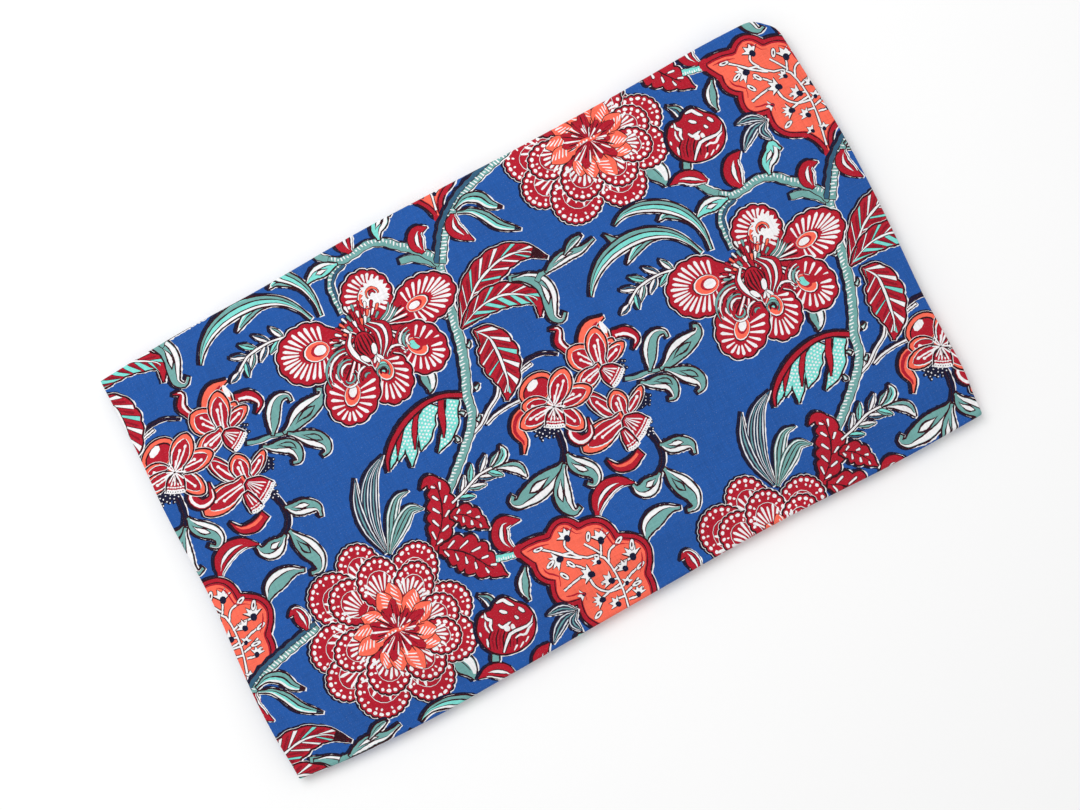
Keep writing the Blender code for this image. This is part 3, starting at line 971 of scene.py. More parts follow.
def palmette():
    """Rounded lobes on both sides of a leaning axis, from the base below to the hooked tip at the upper
    left, with a border, lines and the sprig."""
    shape = evenly(np.append(lobed(LOBES, 11), complex(*LOBES[0][:2])), 119)[:-1]
    motif = body(grown(shape, 3.4), CRIMSON)
    for x, y, _ in LOBES:
        motif += dot(complex(x, y), 5.0, 5.0, dye=CRIMSON)
    motif += mark(grown(shape, 0.8), MAROON) + mark(shape, CRIMSON)
    motif += mark(grown(shape, -0.9) + (-0.35 - 0.30j), CORAL)
    # the sprig: white lines with maroon ink on both sides, all ink first, so that the white joins up
    inks, whites = zip(*(lined(through(points, 15), 0.675, WHITE, 0.6) for points in SPRIG))
    motif += inks + whites
    for flower in SPRIG_FLOWERS:
        motif += tulip(*flower)
    for x, y, turn in SPRIG_LEAVES:
        bud = inked(oval(0, 3.8, 1.6), WHITE, 0.55) + dot(0, 1.9, 0.6, 0, 6, dye=MAROON)
        motif += placed(bud, x, y, turn)
    echo = grown(shape, -3.6)
    for first, last in ((22, 29), (33, 42), (50, 58), (62, 70), (73, 86), (91, 98)):
        motif += mark(band(echo[first:last], 0.55 * swelling(last - first, 0.5, 0.2) + 0.1), CRIMSON)
    return motif

# %% [markdown]
# ## Stems, leaves and buds
# The flowers are joined by stems, leaves and buds. Each kind is a band on a spine, and what differs is how
# its width swells and what is drawn inside. So a kind is a short function of a spine and a width, and veins
# and dashes are placed by two shares: how far along the spine they are, and how far out from it towards the
# edge.

# %% Stems and places on a leaf
def on_leaf(line, half):
    """A function of shares (t, s) that gives a point: the spine at t, moved s half widths to its left."""
    share = np.linspace(0, 1, len(line))
    side = sideways(line) * half

    def place(t, s):
        spine = np.interp(t, share, line.real) + 1j * np.interp(t, share, line.imag)
        reach = np.interp(t, share, side.real) + 1j * np.interp(t, share, side.imag)
        return spine + reach * s

    return place


def leaf(points, half, dye, growth=OUTLINE):
    """The spine, the places and the body of a leaf, from points of its spine and its half widths along
    it."""
    line = through(points, len(half))
    return line, on_leaf(line, half), body(band(line, half), dye, growth)


def strip(place, t, inner, outer, dye):
    """A mark along a leaf, between two shares of its half width."""
    return mark(np.concatenate([place(t, outer), place(t, inner)[::-1]]), dye)


def stem(points, wide, ticks=True, dye=SEA, shadow=None):
    """A stem: a band with maroon sides. White ticks cross its lower half, and a shadow may fill its upper
    half."""
    count = max(9, int(np.abs(np.diff(points)).sum() / 2.6))
    half = wide / 2 * np.linspace(1, 0.8, count) * (1 + 0.10 * np.sin(np.arange(count) * 1.9))
    _, place, motif = leaf(points, half, dye, growth=0.62)
    t = np.linspace(0, 1, count)
    if shadow is not None:
        motif += strip(place, t, 0.15, 1.0, shadow) + strip(place, t, 0.06, 0.22, MAROON)
    if ticks:
        for k, where in enumerate(np.linspace(0.03, 0.97, count)):
            outer = -0.98 if k % 3 else -0.6
            motif += gouge(place(where, -0.05 + 0.25 * (k % 2)), place(where + 0.008, outer), 1.15, 0.8)
    return motif


def thorn(x, y, turn):
    """A thorn beside a stem: a short green hook with a white heart."""
    line = bent_line(4.0, 40, 0, 7)
    half = 1.3 * np.linspace(1, 0.15, 7)
    return placed(body(band(line, half), SEA) + mark(band(line[:5], half[:5] * 0.4), WHITE), x, y, turn)


def tendril(points, wide, dye=WHITE):
    """A thin stalk: a white or dark blue line between two dark ones."""
    return body(band(through(points, 17), wide / 2), dye, growth=0.75)


# %% Green leaves
def slender(count, fullest, base, power):
    """A blade's half width: a leaf's, but with a base of its own that thins with a power of the way along
    it."""
    return np.maximum(swelling(count, fullest), base * (1 - np.linspace(0, 1, count) ** power))


def eyed_leaf(points, width, dye, fullest, eye=(0.24, 0.64), glint=-1, heart=WHITE):
    """A curled leaf: a thin stalk, a full blade and a hooked tip. One side of its maroon vein is white, and
    a maroon loop round a pale eye lies on the other."""
    _, place, motif = leaf(points, width / 2 * np.maximum(swelling(29, fullest) ** 1.25, 0.17), dye)
    edge = np.linspace(0.05, 0.97, 23)
    rim = 0.34 + 0.26 * np.abs(2 * edge - 1)
    motif += strip(place, edge, glint * rim, glint * 0.96, WHITE)
    motif += strip(place, edge[2:], glint * (rim[2:] - 0.14), glint * (rim[2:] + 0.03), MAROON)
    if eye:
        for trim, tall, colour in ((0.0, 0.50, MAROON), (0.045, 0.27, heart)):
            inside = np.linspace(eye[0] + trim, eye[1] - 0.7 * trim, 13)
            loop = tall * swelling(13, 0.62)
            motif += strip(place, inside, -0.22 * glint - loop, -0.22 * glint + loop, colour)
    return motif


def strap_leaf(points, width, dye=AQUA, tip=MAROON):
    """A narrow leaf: sea green on one side of a maroon vein and pale on the other, with a dark tip."""
    half = width / 2 * slender(21, 0.55, 0.16, 3)
    line, place, motif = leaf(points, half, dye)
    t = np.linspace(0, 0.94, 19)
    motif += strip(place, t, 0.30, 0.98, SEA) + strip(place, t, 0.02, 0.34, MAROON)
    return motif + strip(place, t, -0.98, -0.55, WHITE) + mark(band(line[18:], half[18:]), tip)


def blade(points, width, lines, fill=SLATE, dyes=(WHITE, MAROON, SEA, MAROON, WHITE, NAVY)):
    """A blade of grass: a slender band ruled with fine lines that meet at both ends."""
    _, place, motif = leaf(points, width / 2 * slender(25, 0.52, 0.18, 2), fill, growth=0.6)
    t = np.linspace(0.02, 0.95, 19)
    rules = 2 * lines - 1
    for k in range(rules):
        away = (k + 0.5) / rules * 1.9 - 0.95
        thick = 0.62 * 1.9 / rules
        motif += strip(place, t, away - thick / 2, away + thick / 2, dyes[k % 6])
    return motif


def crescent(points, width, below, spurs=()):
    """A long arching leaf: aqua under a sea green back, with maroon lines and a white lower edge. A paler
    blade lies along its lower side, and spurs are small curled tips on its back."""
    _, place, main = leaf(points, width / 2 * slender(31, 0.55, 0.16, 3), AQUA)
    t = np.linspace(0.01, 0.96, 27)
    motif = []
    for spur, wide in spurs:
        motif += body(band(through(spur, 11), wide / 2 * swelling(11, 0.3, 1.0)), SEA)
    motif += strap_leaf(below, 5.5, AQUA, WHITE) + main
    motif += strip(place, t, -1.0, -0.42, SEA) + strip(place, t, -0.48, -0.22, MAROON)
    return motif + strip(place, t, 0.40, 0.60, MAROON) + strip(place, t, 0.58, 1.0, WHITE)


def fern(points, number, leaf, lean, end=0.0):
    """A fern: a stalk with leaflets above and below it, each white or aqua with a dark vein and a dark
    side."""
    line = through(points, 33)
    way_on = np.degrees(np.angle(np.gradient(line)))
    places = [(line[-1], end, way_on[-1], 1)] if end else []
    for side in (1, -1):
        for k in range(number):
            near = int(33 * (k + 0.7 + 0.3 * (side > 0)) / (number + 0.9))
            length = leaf * (1.0 - 0.30 * abs(k - 0.4 * number) / number)
            places.append((line[near], length, way_on[near] + side * lean, side))
    motif = []
    for k, (at, length, turn, side) in enumerate(places):
        small = bent_line(length, side * -30, side * 26, 13)
        half = 1.9 * swelling(13, 0.5, 0.35)
        place = on_leaf(small, half)
        t = np.linspace(0.05, 0.93, 11)
        one = body(band(small, half), (WHITE, AQUA, WHITE)[k % 3], growth=0.75)
        one += strip(place, t, 0.35 * side, 1.0 * side, (SLATE, SEA)[k % 2])
        one += strip(place, t, -0.05 * side, 0.40 * side, MAROON)
        motif += placed(one, at.real, at.imag, turn)
    return motif + tendril(points, 1.4)


# %% Striped, lobed and dotted leaves
def striped_leaf(points, width, stripes, tip, tip_from, pale):
    """A leaf of slanting stripes: pale wedges run from the rib to the edge on crimson, and the edge swells
    between them. The pale share of each side's stripes is given."""
    count = 8 * stripes + 1
    line = through(points, count)
    t = np.linspace(0, 1, count)
    half = width / 2 * np.maximum(swelling(count, 0.45), 0.05)
    edge = half * (0.93 + 0.12 * np.abs(np.sin(np.pi * stripes * (t - 0.02))))
    place = on_leaf(line, edge)
    motif = rimmed(band(line, edge), CRIMSON, 0.3)
    pitch, slant = 0.92 / stripes, 0.13
    for way, share in zip((1, -1), pale):
        for k in range(stripes):
            root = 0.03 + pitch * k
            wide = pitch * share
            far = min(root + slant, 0.985)
            wedge = np.array([
                place(root, 0.05 * way), place(root + wide * 0.7, 0.05 * way),
                place(min(far + wide * 1.4, 0.99), 0.96 * way), place(far, 0.96 * way),
            ])
            motif += inked(wedge, AQUA if share > 0.4 or (k + (way > 0)) % 3 == 0 else WHITE)
            end = place(min(far + pitch * 0.6, 0.985), 0.78 * way)
            motif += gouge(place(root + pitch * 0.66, 0.12 * way), end, 1.9, 1.2, dye=DEEP)
    rib = np.linspace(0.0, tip_from, 21)
    motif += strip(place, rib, -0.13, 0.13, MAROON) + strip(place, rib, -0.07, 0.07, WHITE)
    cut = int(count * tip_from)
    return motif + mark(band(line[cut:], edge[cut:]), tip)


def lobed_leaf(points, width, lobes, hook=False):
    """A red leaf with rounded lobes and a slate rib, whose side twigs end in blunt white dashes."""
    count = 10 * lobes + 1
    line = through(points, count)
    t = np.linspace(0, 1, count)
    half = width / 2 * np.maximum(swelling(count, 0.42, 0.2), 0.17 * (1 - t**8) if hook else 0.03)
    edge = half * (0.80 + 0.30 * np.abs(np.sin(np.pi * lobes * (t + 0.05))))
    place = on_leaf(line, edge)
    motif = body(band(line, edge), CRIMSON) + strip(place, np.linspace(0.0, 0.80, 19), -0.05, 0.05, MAROON)
    twigs = (
        # start and end as shares of the way and of the half width, and the two widths
        (0, 0, 0.07, 0.42, 0.8, 0.6, MAROON), (0.025, 0.17, 0.105, 0.70, 2.7, 2.0, MAROON),
        (0.03, 0.20, 0.10, 0.67, 1.7, 1.1, WHITE),
    )
    for k in range(lobes):
        for way in (1, -1):
            near = (k + 0.25 + 0.30 * (way > 0)) / (lobes + 0.4)
            for start, inner, end, outer, wide, narrow, dye in twigs if near < 0.76 else ():
                root, tip = place(near + start, inner * way), place(near + end, outer * way)
                motif += gouge(root, tip, wide, narrow, dye)
    return motif


def dotted_leaf(back, tongues, fingers):
    """A leaf under a red back: aqua tongues with white dots hang from the back, with red fingers on them.
    Each tongue or finger is the points of its spine and its width."""
    motif, fills, spots = [], [], []
    for points, wide in tongues:
        line = through(points, 25)
        half = wide / 2 * swelling(25, 0.40, 0.8) * (1 + 0.09 * np.sin(np.linspace(0, 6 * np.pi, 25)))
        place = on_leaf(line, half)
        motif += body(band(line, half), AQUA)
        fills += motif[-1:]
        run = np.abs(np.diff(line)).sum()
        for row, t in enumerate(np.arange(1.5, run - 2.0, 2.5) / run):
            width = np.interp(t, np.linspace(0, 1, 25), half)
            for away in np.arange(-2.5, 3) * 2.5 + 1.25 * (row % 2):
                if abs(away) < width - 1.0:
                    spots.append(place(t, away / width))
    for spot in spots:
        fills += dot(spot, 0.85, 0.75, 0, 6)
    for points, wide in fingers:
        half = wide / 2 * np.maximum(swelling(15, 0.40, 1.0), 0.12)
        fills += lined(through(points, 15), half, CRIMSON, 0.8)
    half = 1.5 * swelling(41, 0.62, 0.75) ** 0.6
    return motif + fills + body(band(through(back, 41), half + 0.15), CRIMSON)


# %% Buds
BUD_EDGE = (
    -21-3j, -21.5+5j, -18+13j, -12+17.5j, -5.5+16.5j, 1+20j, 8+19.5j, 12+14j, 18+8j, 20,
    17-9j, 10-15.5j, -17.5j, -10-15.5j, -18-9.5j, -21-3j,
)
BUD_STROKES = (
    # width, ink and the strokes
    (1.3, 0.3, (
        (-20+4j, -19.5+7j), (-19-5j, -17+1j), (-13.5+3.5j, -14+8j, -12.5+12j), (-13.5+15.5j, -11.5+16j),
    )),
    (2.1, 0.6, (
        (-11+3.5j, -10.5+8j, -8.5+10j, -11+13.5j, -10+17.5j), (0.5+19.3j, 6+18.8j, 8+15.5j, 11+11.5j),
        (13.5j, 2.5+11j, 4.5+9.5j), (-5+5.5j, -3.5+2.2j, 0.5+2.4j, 3.5+3j), (13+9j, 15.5+4j), (8+5j, 9.5+2j),
    )),
)


def comma_bud(points, width, side=-1):
    """A bud like a comma: full and red with a hooked tip, a white wedge inside and a white crescent beside
    it."""
    half = width / 2 * np.maximum(swelling(19, 0.40, 0.3), 0.26 * (1 - np.linspace(0, 1, 19) ** 3))
    _, place, motif = leaf(points, half, CRIMSON, growth=0.8)
    inside = np.linspace(0.06, 0.72, 13)
    wedge = 0.20 * swelling(13, 0.55)
    middle = 0.12 * side
    for wide, dye in ((wedge * 1.7, MAROON), (wedge, WHITE)):
        motif += strip(place, inside, middle - wide, middle + wide, dye)
    edge = np.linspace(0.0, 0.80, 15)
    rim = side * (0.80 + 0.08 * np.sin(np.pi * edge))
    motif += strip(place, edge, side * 1.0, rim - 0.16 * side, MAROON)
    return motif + strip(place, edge, side * 1.08, rim, WHITE)


def round_bud():
    """A peony bud: two domes above a cup. Stripes sweep up the cup from its left, a white wave crosses it
    on the right, and white wavy strokes and dabs lie in the domes."""
    motif = placed(body(band(through((0, 5-1j), 5), 2.4), SEA), -17, -12, 255)
    motif += body(through(BUD_EDGE, 46)[:-1], CRIMSON)
    for k in range(9):
        foot = complex(-18.5 + 2.2 * k, -8 - 0.8 * k)
        line = foot, complex(-16.5 + 2.6 * k, -1 - 0.7 * k), complex(-11 + 2.6 * k, 4.5 - 0.8 * k)
        motif += mark(stroke(line, 1.0), (MAROON, DEEP)[k % 2])
    for wide, ink, lines in BUD_STROKES:
        for line in lines:
            motif += inked(stroke(line, wide), WHITE, ink)
    motif += dot(-1, 2.2, 2.2) + dot(3.2 - 1j, 1.6, 2.2)
    motif += inked(stroke((-11-14j, -5-7.5j, -1-4.5j, 6-4.6j, 12-5.4j, 17-4j, 19.5-0.5j), 2.2), WHITE, 0.7)
    motif += mark(stroke((1-9j, 5-8.3j, 8.5-10j, 13-7.2j, 17-5.8j), 1.6), WHITE)
    for start in (-4 - 16.3j, 1 - 16.5j, 6 - 15j):
        motif += gouge(start, start + 4 + 2.6j, 1.4, 0.8)
    return motif

# %% [markdown]
# ## One repeat of the print
# The printer sets the block down beside its last impression, so one plant repeats along two slanting steps.
# The plant is laid out here on the flat cloth, with X to the right and Y up, from the middle of the folded
# packet. Each group below is one stretch of the plant: what grows there, the points of its spine, and its
# width.

# %% The branches above the orchid
def upper_branches():
    """The forked stem over the orchid, with its buds and strap leaves."""
    return (
        stem((-29+98j, -27.6+107j, -24.2+118j), 7.0)
        + stem((-26.5+117j, -33+123.6j, -41+129.4j, -49+131.2j), 5.4, ticks=False)
        + stem((-93+157.6j, -99.1+163.7j, -103.1+171.5j), 5.0, ticks=False)
        + stem((-86+150.5j, -95.2+147.6j, -101.2+141.5j, -103+131.4j, -103.6+119j), 5.2, shadow=SLATE)
        + stem((-24.2+116.2j, -28.2+124.4j, -35.2+133.4j, -44.4+141.5j, -54.6+150.7j, -63.8+153.6j,
            -75.8+152.5j, -86+152.5j, -94+158j), 6.2)
        + stem((-24.2+116.2j, -17+127.2j, -8.9+138.1j, 2.7+147.5j, 14.6+154.7j, 30.1+160.1j, 46+164.5j,
            62+168.5j), 8.4, shadow=SLATE)
        + placed(round_bud(), -86, 202)
        + eyed_leaf((-55.5+233j, -60+227j, -63.5+219j, -63.5+212j), 7.0, SEA, 0.5, None)
        + eyed_leaf((-90+152.2j, -98+153.5j, -107+154j, -117+150.5j), 9.5, AQUA, 0.45)
        + eyed_leaf((-54.6+152.6j, -52.5+160j, -45.5+165.5j, -42.5+171j, -38.4+165j), 9.5, AQUA, 0.45)
        + comma_bud((-97.1+170.5j, -104+177j, -113+181.5j, -122+181j), 10.5, 1)
        + comma_bud((-77+154.7j, -78+164j, -73.4+174j, -65+178j), 13.5)
        + comma_bud((-30.8+129j, -32+137j, -27.4+144.6j, -19.4+144.2j), 11.5)
        + comma_bud((1.7+143.8j, -2.8+135j, 1+126j, 5.8+119.5j), 11.0, 1)
        + comma_bud((55+169j, 54.5+177j, 51.5+185j, 46.5+183j), 9.5)
        + strap_leaf((5.2+146.7j, 15+149.6j, 24.8+145.2j, 29+137j, 35.8+131.4j), 7.5)
        + strap_leaf((5.2+143.2j, 14.5+139.6j, 21.6+131.2j, 26.5+121.8j, 39.5+110.6j), 6.5, tip=NAVY)
        + blade((-36.3+188.3j, -45+194.5j, -57.5+196.1j), 6.0, 3, SLATE)
        + blade((-37.3+188j, -47+187.5j, -55+183j, -62.6+176.1j), 7.5, 3, SLATE)
        + blade((-37+188j, -43+183j, -40+174j), 6.0, 3, SLATE)
    )


# %% The vine and the striped leaves
def vine():
    """The vine down the middle, its striped leaves, the dotted leaf and the curled leaves at its right."""
    return (
        dotted_leaf((-52.5+23j, -59+27j, -67+30.6j, -79+32.3j, -91+30.7j, -102+27j, -111+22j, -119+15.5j,
            -124+9.5j, -126.5+3j), (((-111+21j, -117+13j, -124.5+4j), 7.0), ((-105+21j, -111+12j,
            -116.5+6j), 6.0), ((-93+28j, -101+18j, -105+8j, -110-2.5j), 11.0), ((-77+29j, -87+20j, -92+12j,
            -99+4.5j), 13.0), ((-62+25j, -69+15j, -76+6j, -88.5-2.8j), 11.0)), (((-103+26j, -110+18j,
            -115.5+9.5j), 3.0), ((-89+30j, -96+20j, -102.5+7j), 3.4), ((-69+30j, -73.5+21j, -77+11j,
            -80.5+4j), 4.4)))
        + tendril((-15.8+17.6j, -8.3+19.3j, -0.2+20.5j), 1.2)
        + tendril((-15.8+18.4j, -8+22.5j, 0+24j, 11+22.8j, 20+17.5j), 1.0, NAVY)
        + tendril((-61.3-3.8j, -52-0.4j, -42.1+6.7j, -32+12.5j, -27+20j, -18.5+24j), 1.5)
        + tendril((-48.5-2.2j, -42+0j, -30+1.5j, -16+1j), 1.3)
        + stem((-32.6+89.5j, -35.6+70j, -39.6+52.9j, -46.1+34.8j, -51.6+22.7j, -54+10.6j, -60.6+0.2j,
            -68.7-8.1j, -80.8-18.9j, -95-31j), 6.8)
        + thorn(-34.5, 53, 30)
        + thorn(-44, 24, 10)
        + thorn(-59.5, 12, 120)
        + thorn(-72, -3, 80)
        + thorn(-38.5, 80, 100)
        + thorn(-53, 3.0, 20)
        + striped_leaf((-32.4+68.6j, -21+79j, -10+88.6j, 4.7+95.5j, 21.3+98.3j, 34.7+94.6j, 46+83.6j),
            21.5, 8, MAROON, 0.87, (0.15, 0.18))
        + striped_leaf((-32.4+66.9j, -22.1+71.6j, -8.7+75j, 4.7+74.2j, 16.7+68.3j, 25.7+59.9j, 21.9+47.5j),
            17.5, 7, CRIMSON, 0.83, (0.12, 0.5))
        + striped_leaf((-25.5+61j, -18.4+52j, -17.6+40.2j, -18.8+28.2j, -20.8+17.6j, -27.4+5.8j), 27.0, 6,
            CRIMSON, 0.9, (0.22, 0.1))
        + stem((14+82.5j, 22+80j, 29+76.5j), 4.0, ticks=False)
        + eyed_leaf((16.3+80.9j, 26+77j, 33+70j, 34.7+60j, 31.4+49.5j, 29.8+42j, 34.5+37.6j, 38.8+41.6j),
            11.0, SEA, 0.45, (0.3, 0.64), 1)
        + stem((31.5+71.5j, 36+74.4j, 41.5+74j), 3.4, ticks=False)
        + eyed_leaf((40.1+74j, 50+76.8j, 60+77.8j, 70+76.5j, 82+79.1j), 7.5, SEA, 0.4, (0.14, 0.6))
        + strap_leaf((58+79j, 66+83.5j, 76+86j), 4.5, SEA, NAVY)
    )


# %% Beside the peony
def peony_sprays():
    """The grass, the red lobed leaves and the fern between the peony and the vine."""
    return (
        blade((-152.5-46.6j, -153.5-25j, -147.5-6j, -137+8j, -124.5+15.3j), 12.5, 6)
        + blade((-153.5-46.6j, -158.6-28j, -157.6-8j, -150.2+10.8j), 7.0, 3)
        + blade((-152-47j, -143.7-34.3j, -136.2-22.5j, -128.8-16.2j, -120.2-16.2j), 7.5, 3, SEA)
        + blade((-151-48.5j, -141.5-39.6j, -133-33j, -124.5-28.5j, -116-32.7j), 10.5, 4, SEA, (WHITE,
            MAROON, SEA, MAROON, SEA, MAROON))
        + stem((-145-60.4j, -131-63.4j, -114.5-62.6j), 3.6, ticks=False, dye=CRIMSON)
        + lobed_leaf((-120.5-62j, -115.5-56.5j, -109.5-50j, -104.5-41j, -101.5-30j, -101-22j, -105.6-17j,
            -111.6-19.6j), 20.5, 6, True)
        + lobed_leaf((-100.6-47j, -93-49.5j, -85.4-57j, -78.5-68j), 14.5, 4)
        + lobed_leaf((-117.3-63.9j, -108.4-68.6j, -98.9-77.2j, -92.1-88.4j, -81-103.5j), 24.0, 6)
        + stem((-83.2-89.4j, -76-91.6j, -69.3-93.5j), 4.6, dye=AQUA)
        + fern((-95.5-39.4j, -84-36.2j, -70-31.5j, -52.4-32j), 4, 15.0, 50)
        + strap_leaf((-55.4-33.5j, -48-36.5j, -41.6-41j, -38.6-49.5j), 6.5, WHITE, WHITE)
        + strap_leaf((-58.4-31.5j, -51-30j, -46.6-26j, -47-20.5j), 5.0, AQUA, WHITE)
        + strap_leaf((-106-106j, -101.5-112j, -101.5-121j), 6.0, SLATE, NAVY)
        + comma_bud((-69.4-89.5j, -74-81j, -69.5-70.6j, -55.6-73.6j), 12.5)
    )


# %% Under the lilies
def lily_sprigs():
    """The leaves that hang from the bunch of lilies, and those between it and the palmette."""
    return (
        stem((-4.4-30j, -4.6-40j, -6.6-48.4j, -10.8-53.6j, -17-56.4j), 2.6, ticks=False, dye=NAVY)
        + eyed_leaf((-10.5-53.7j, -18.6-56.8j, -27.4-59.4j, -36.2-61.2j, -45-62.4j, -52.5-63.2j, -56-59.5j,
            -53.2-56.8j), 15.0, SEA, 0.46, (0.24, 0.62), 1)
        + eyed_leaf((-10.3-54.5j, -16.1-63.1j, -20.4-73.1j, -21.1-81.9j, -17.6-88.4j, -12.6-87j), 11.5,
            SEA, 0.5, (0.2, 0.62), 1)
        + eyed_leaf((-5.5-48.9j, -3.6-57j, 1.4-63j, 6.4-68.4j, 7.1-74.5j, 3.4-78j, -0.6-74.7j), 10.5, SEA,
            0.4, (0.14, 0.52), 1)
        + stem((55.5-22j, 63-24.4j, 72-25.4j, 81.2-27.9j, 87-28.6j), 2.4, ticks=False)
        + eyed_leaf((74.4-25.4j, 78-18.2j, 81.7-10.5j, 86-5.4j, 91.7-3.6j, 96.2-5.5j, 96.6-9.6j), 9.0, SEA,
            0.42, None, 1)
        + eyed_leaf((82.1-27.9j, 89.8-26.4j, 97.3-22.8j, 105-20.9j, 112.7-19.4j, 118.4-17j, 119.3-13j,
            116.6-11.8j), 13.0, SEA, 0.46, (0.2, 0.66), 1, SEA)
        + eyed_leaf((84.6-29.6j, 90.7-34.3j, 96.4-39.1j, 102.1-44.2j, 105-49j, 103.9-54.4j, 99.9-55.4j),
            10.5, SEA, 0.52, (0.24, 0.68), -1, SEA)
        + eyed_leaf((64.5-29.5j, 70.7-33.4j, 77.4-35.8j, 83.1-39.8j, 84.6-45.8j, 82.6-50.8j, 78.6-50j),
            9.5, SEA, 0.5, (0.22, 0.66), -1, SEA)
        + stem((53.5-57j, 56.3-65j, 58.4-73.9j, 58-82.6j, 54.1-89.4j, 49.3-93.2j), 2.6, ticks=False,
            dye=NAVY)
        + eyed_leaf((58.6-75.6j, 65.4-80.2j, 72.9-82.5j, 79-86.6j, 78.5-93.2j), 10.0, SEA, 0.42, (0.14,
            0.6), -1)
        + eyed_leaf((53.5-92.2j, 56.6-102.2j, 60.4-111j, 63-119.5j, 60.2-127.2j, 54.5-126.6j), 12.5, SEA,
            0.46, (0.16, 0.52), 1, SEA)
        + eyed_leaf((49.5-93.5j, 42.8-96.9j, 35.3-98.4j, 30-95.9j, 28.2-91.4j), 12.0, SEA, 0.5, (0.16,
            0.58), 1)
        + comma_bud((-4.2-97.8j, 0.7-89.7j, 9.7-84.4j, 20-84.6j, 30.2-90.6j), 12.0)
        + eyed_leaf((18.6-129.7j, 25-122.5j, 33-119.5j, 42-119j, 50.5-122j), 12.0, SEA, 0.42, None, 1)
    )


# %% Over the peony
def crescents():
    """The long arching leaves and the fern sprig at the back."""
    return (
        crescent((-125.5+127j, -129.5+137j, -136+146.5j, -145+153.5j, -156+158j, -167+159.5j, -177+159j,
            -188+156.5j, -199+150.5j, -207+143j, -211.2+136.5j), 9.5, (-144+150j, -156+153.5j, -167+151j,
            -177+145j), [((-166+160j, -176+163j, -181.5+172j), 5.5)])
        + crescent((-118+125.5j, -117+136j, -118+146j, -122+156j, -128+164j, -135+170j, -143+174.5j,
            -154+178j, -164+178j, -172+174.5j), 8.0, (-122+150j, -129+160j, -135.5+163.5j, -142+162j))
        + fern((-144.3+123.1j, -153.3+126.2j, -167.2+127.2j, -179.7+125.1j, -189+118.8j), 4, 14.0, 56,
            10.0)
    )


# %% The repeat
FLOWERS = (
    # what, x and y of its middle
    (orchid, -92.6, 94.4),
    (lily_bunch, 15.7, -12.1),
    (peony, -168.5, -93.3),
    (palmette, -20.4, -124.0),
)
STEP_RIGHT, STEP_DOWN = 272 - 94j, -284 - 244j        # from one impression of the blocks to the next
NUDGES = {(-1, 0): 10 - 2j, (0, 1): 3 + 6j}           # impressions that were set a little off the even step


def whole_plant():
    """Every motif of one impression: stems and leaves first, because the flowers overlap their ends."""
    motif = upper_branches() + vine() + peony_sprays() + lily_sprigs() + crescents()
    for flower, x, y in FLOWERS:
        motif += placed(flower(), x, y)
    return motif


PLANT = printed(whole_plant())
print(f"one impression: {len(PLANT)} shapes, {sum(len(outline) for outline, _ in PLANT)} points")


def print_in(low, high):
    """The shapes of the print that reach into a rectangle, given by two corners, in painter's order."""
    found = []
    for right in range(-3, 4):
        for down in range(-3, 4):
            step = right * STEP_RIGHT + down * STEP_DOWN + NUDGES.get((right, down), 0)
            for outline, dye in PLANT:
                x, y = outline.real + step.real, outline.imag + step.imag
                if x.max() > low.real and x.min() < high.real and y.max() > low.imag and y.min() < high.imag:
                    found.append((outline + step, dye))
    return found

# %% [markdown]
# ## From outlines to a printed sheet
# A printed face could be one image wrapped on the cloth, but here the print is made of real, sharp-edged
# shapes, so the outlines are cut into the mesh. A constrained Delaunay triangulation takes them all and
# gives triangles that never cross an outline. Each triangle takes the dye of the topmost shape that its
# middle lies in. The test is the winding number, so an outline may cross itself. Most of those lines are
# hidden under later shapes, so only the lines between two dyes are kept, and a second triangulation joins
# them with the fold lines and a grid of points.

# %% Clipping and the inside test
HAIR = 0.05       # millimetres: points nearer than this to a border are put on it


def cropped(outline, low, high):
    """An outline cut to a rectangle given by its lowest and highest corners, as complex numbers: points
    inside stay, and each side that crosses a border gives its crossing."""
    across = (np.real, low.real, 1), (np.real, high.real, -1)
    along = (np.imag, low.imag, 1), (np.imag, high.imag, -1)
    for part, limit, sign in across + along:
        keep = sign * (part(outline) - limit) >= 0
        if not keep.all():
            after = np.roll(outline, -1)
            span = part(after) - part(outline)
            share = (limit - part(outline)) / np.where(np.abs(span) < 1e-12, 1.0, span)
            pairs = np.stack([outline, outline + (after - outline) * share], axis=1)
            outline = pairs[np.stack([keep, keep != np.roll(keep, -1)], axis=1)]
        if len(outline) < 3:
            return outline[:0]
    return settled(outline, low, high)


def settled(outline, low, high):
    """Points within a hair of the rectangle's border are put on it, at even places along it, so that no two
    points of the border nearly coincide."""
    x, y = outline.real.copy(), outline.imag.copy()
    on_x = (x - low.real < HAIR) | (high.real - x < HAIR)
    on_y = (y - low.imag < HAIR) | (high.imag - y < HAIR)
    x[on_y] = np.clip(np.round(x[on_y] / HAIR) * HAIR, low.real, high.real)
    y[on_x] = np.clip(np.round(y[on_x] / HAIR) * HAIR, low.imag, high.imag)
    x[on_x] = np.where(x[on_x] * 2 < low.real + high.real, low.real, high.real)
    y[on_y] = np.where(y[on_y] * 2 < low.imag + high.imag, low.imag, high.imag)
    return x + 1j * y


def within(points, low, high):
    """Which points lie inside a rectangle."""
    x, y = points.real, points.imag
    return (x > low.real) & (x < high.real) & (y > low.imag) & (y < high.imag)


def winding(points, outline):
    """How many times an outline runs round each point: its sides that cross the level of the point to its
    right, counted up or down."""
    start, end = outline[None, :], np.roll(outline, -1)[None, :]
    here = points[:, None]
    rising = (start.imag <= here.imag) & (end.imag > here.imag)
    falling = (start.imag > here.imag) & (end.imag <= here.imag)
    side, away = end - start, here - start
    turn = side.real * away.imag - away.real * side.imag
    return np.sum(rising & (turn > 0), axis=1) - np.sum(falling & (turn < 0), axis=1)


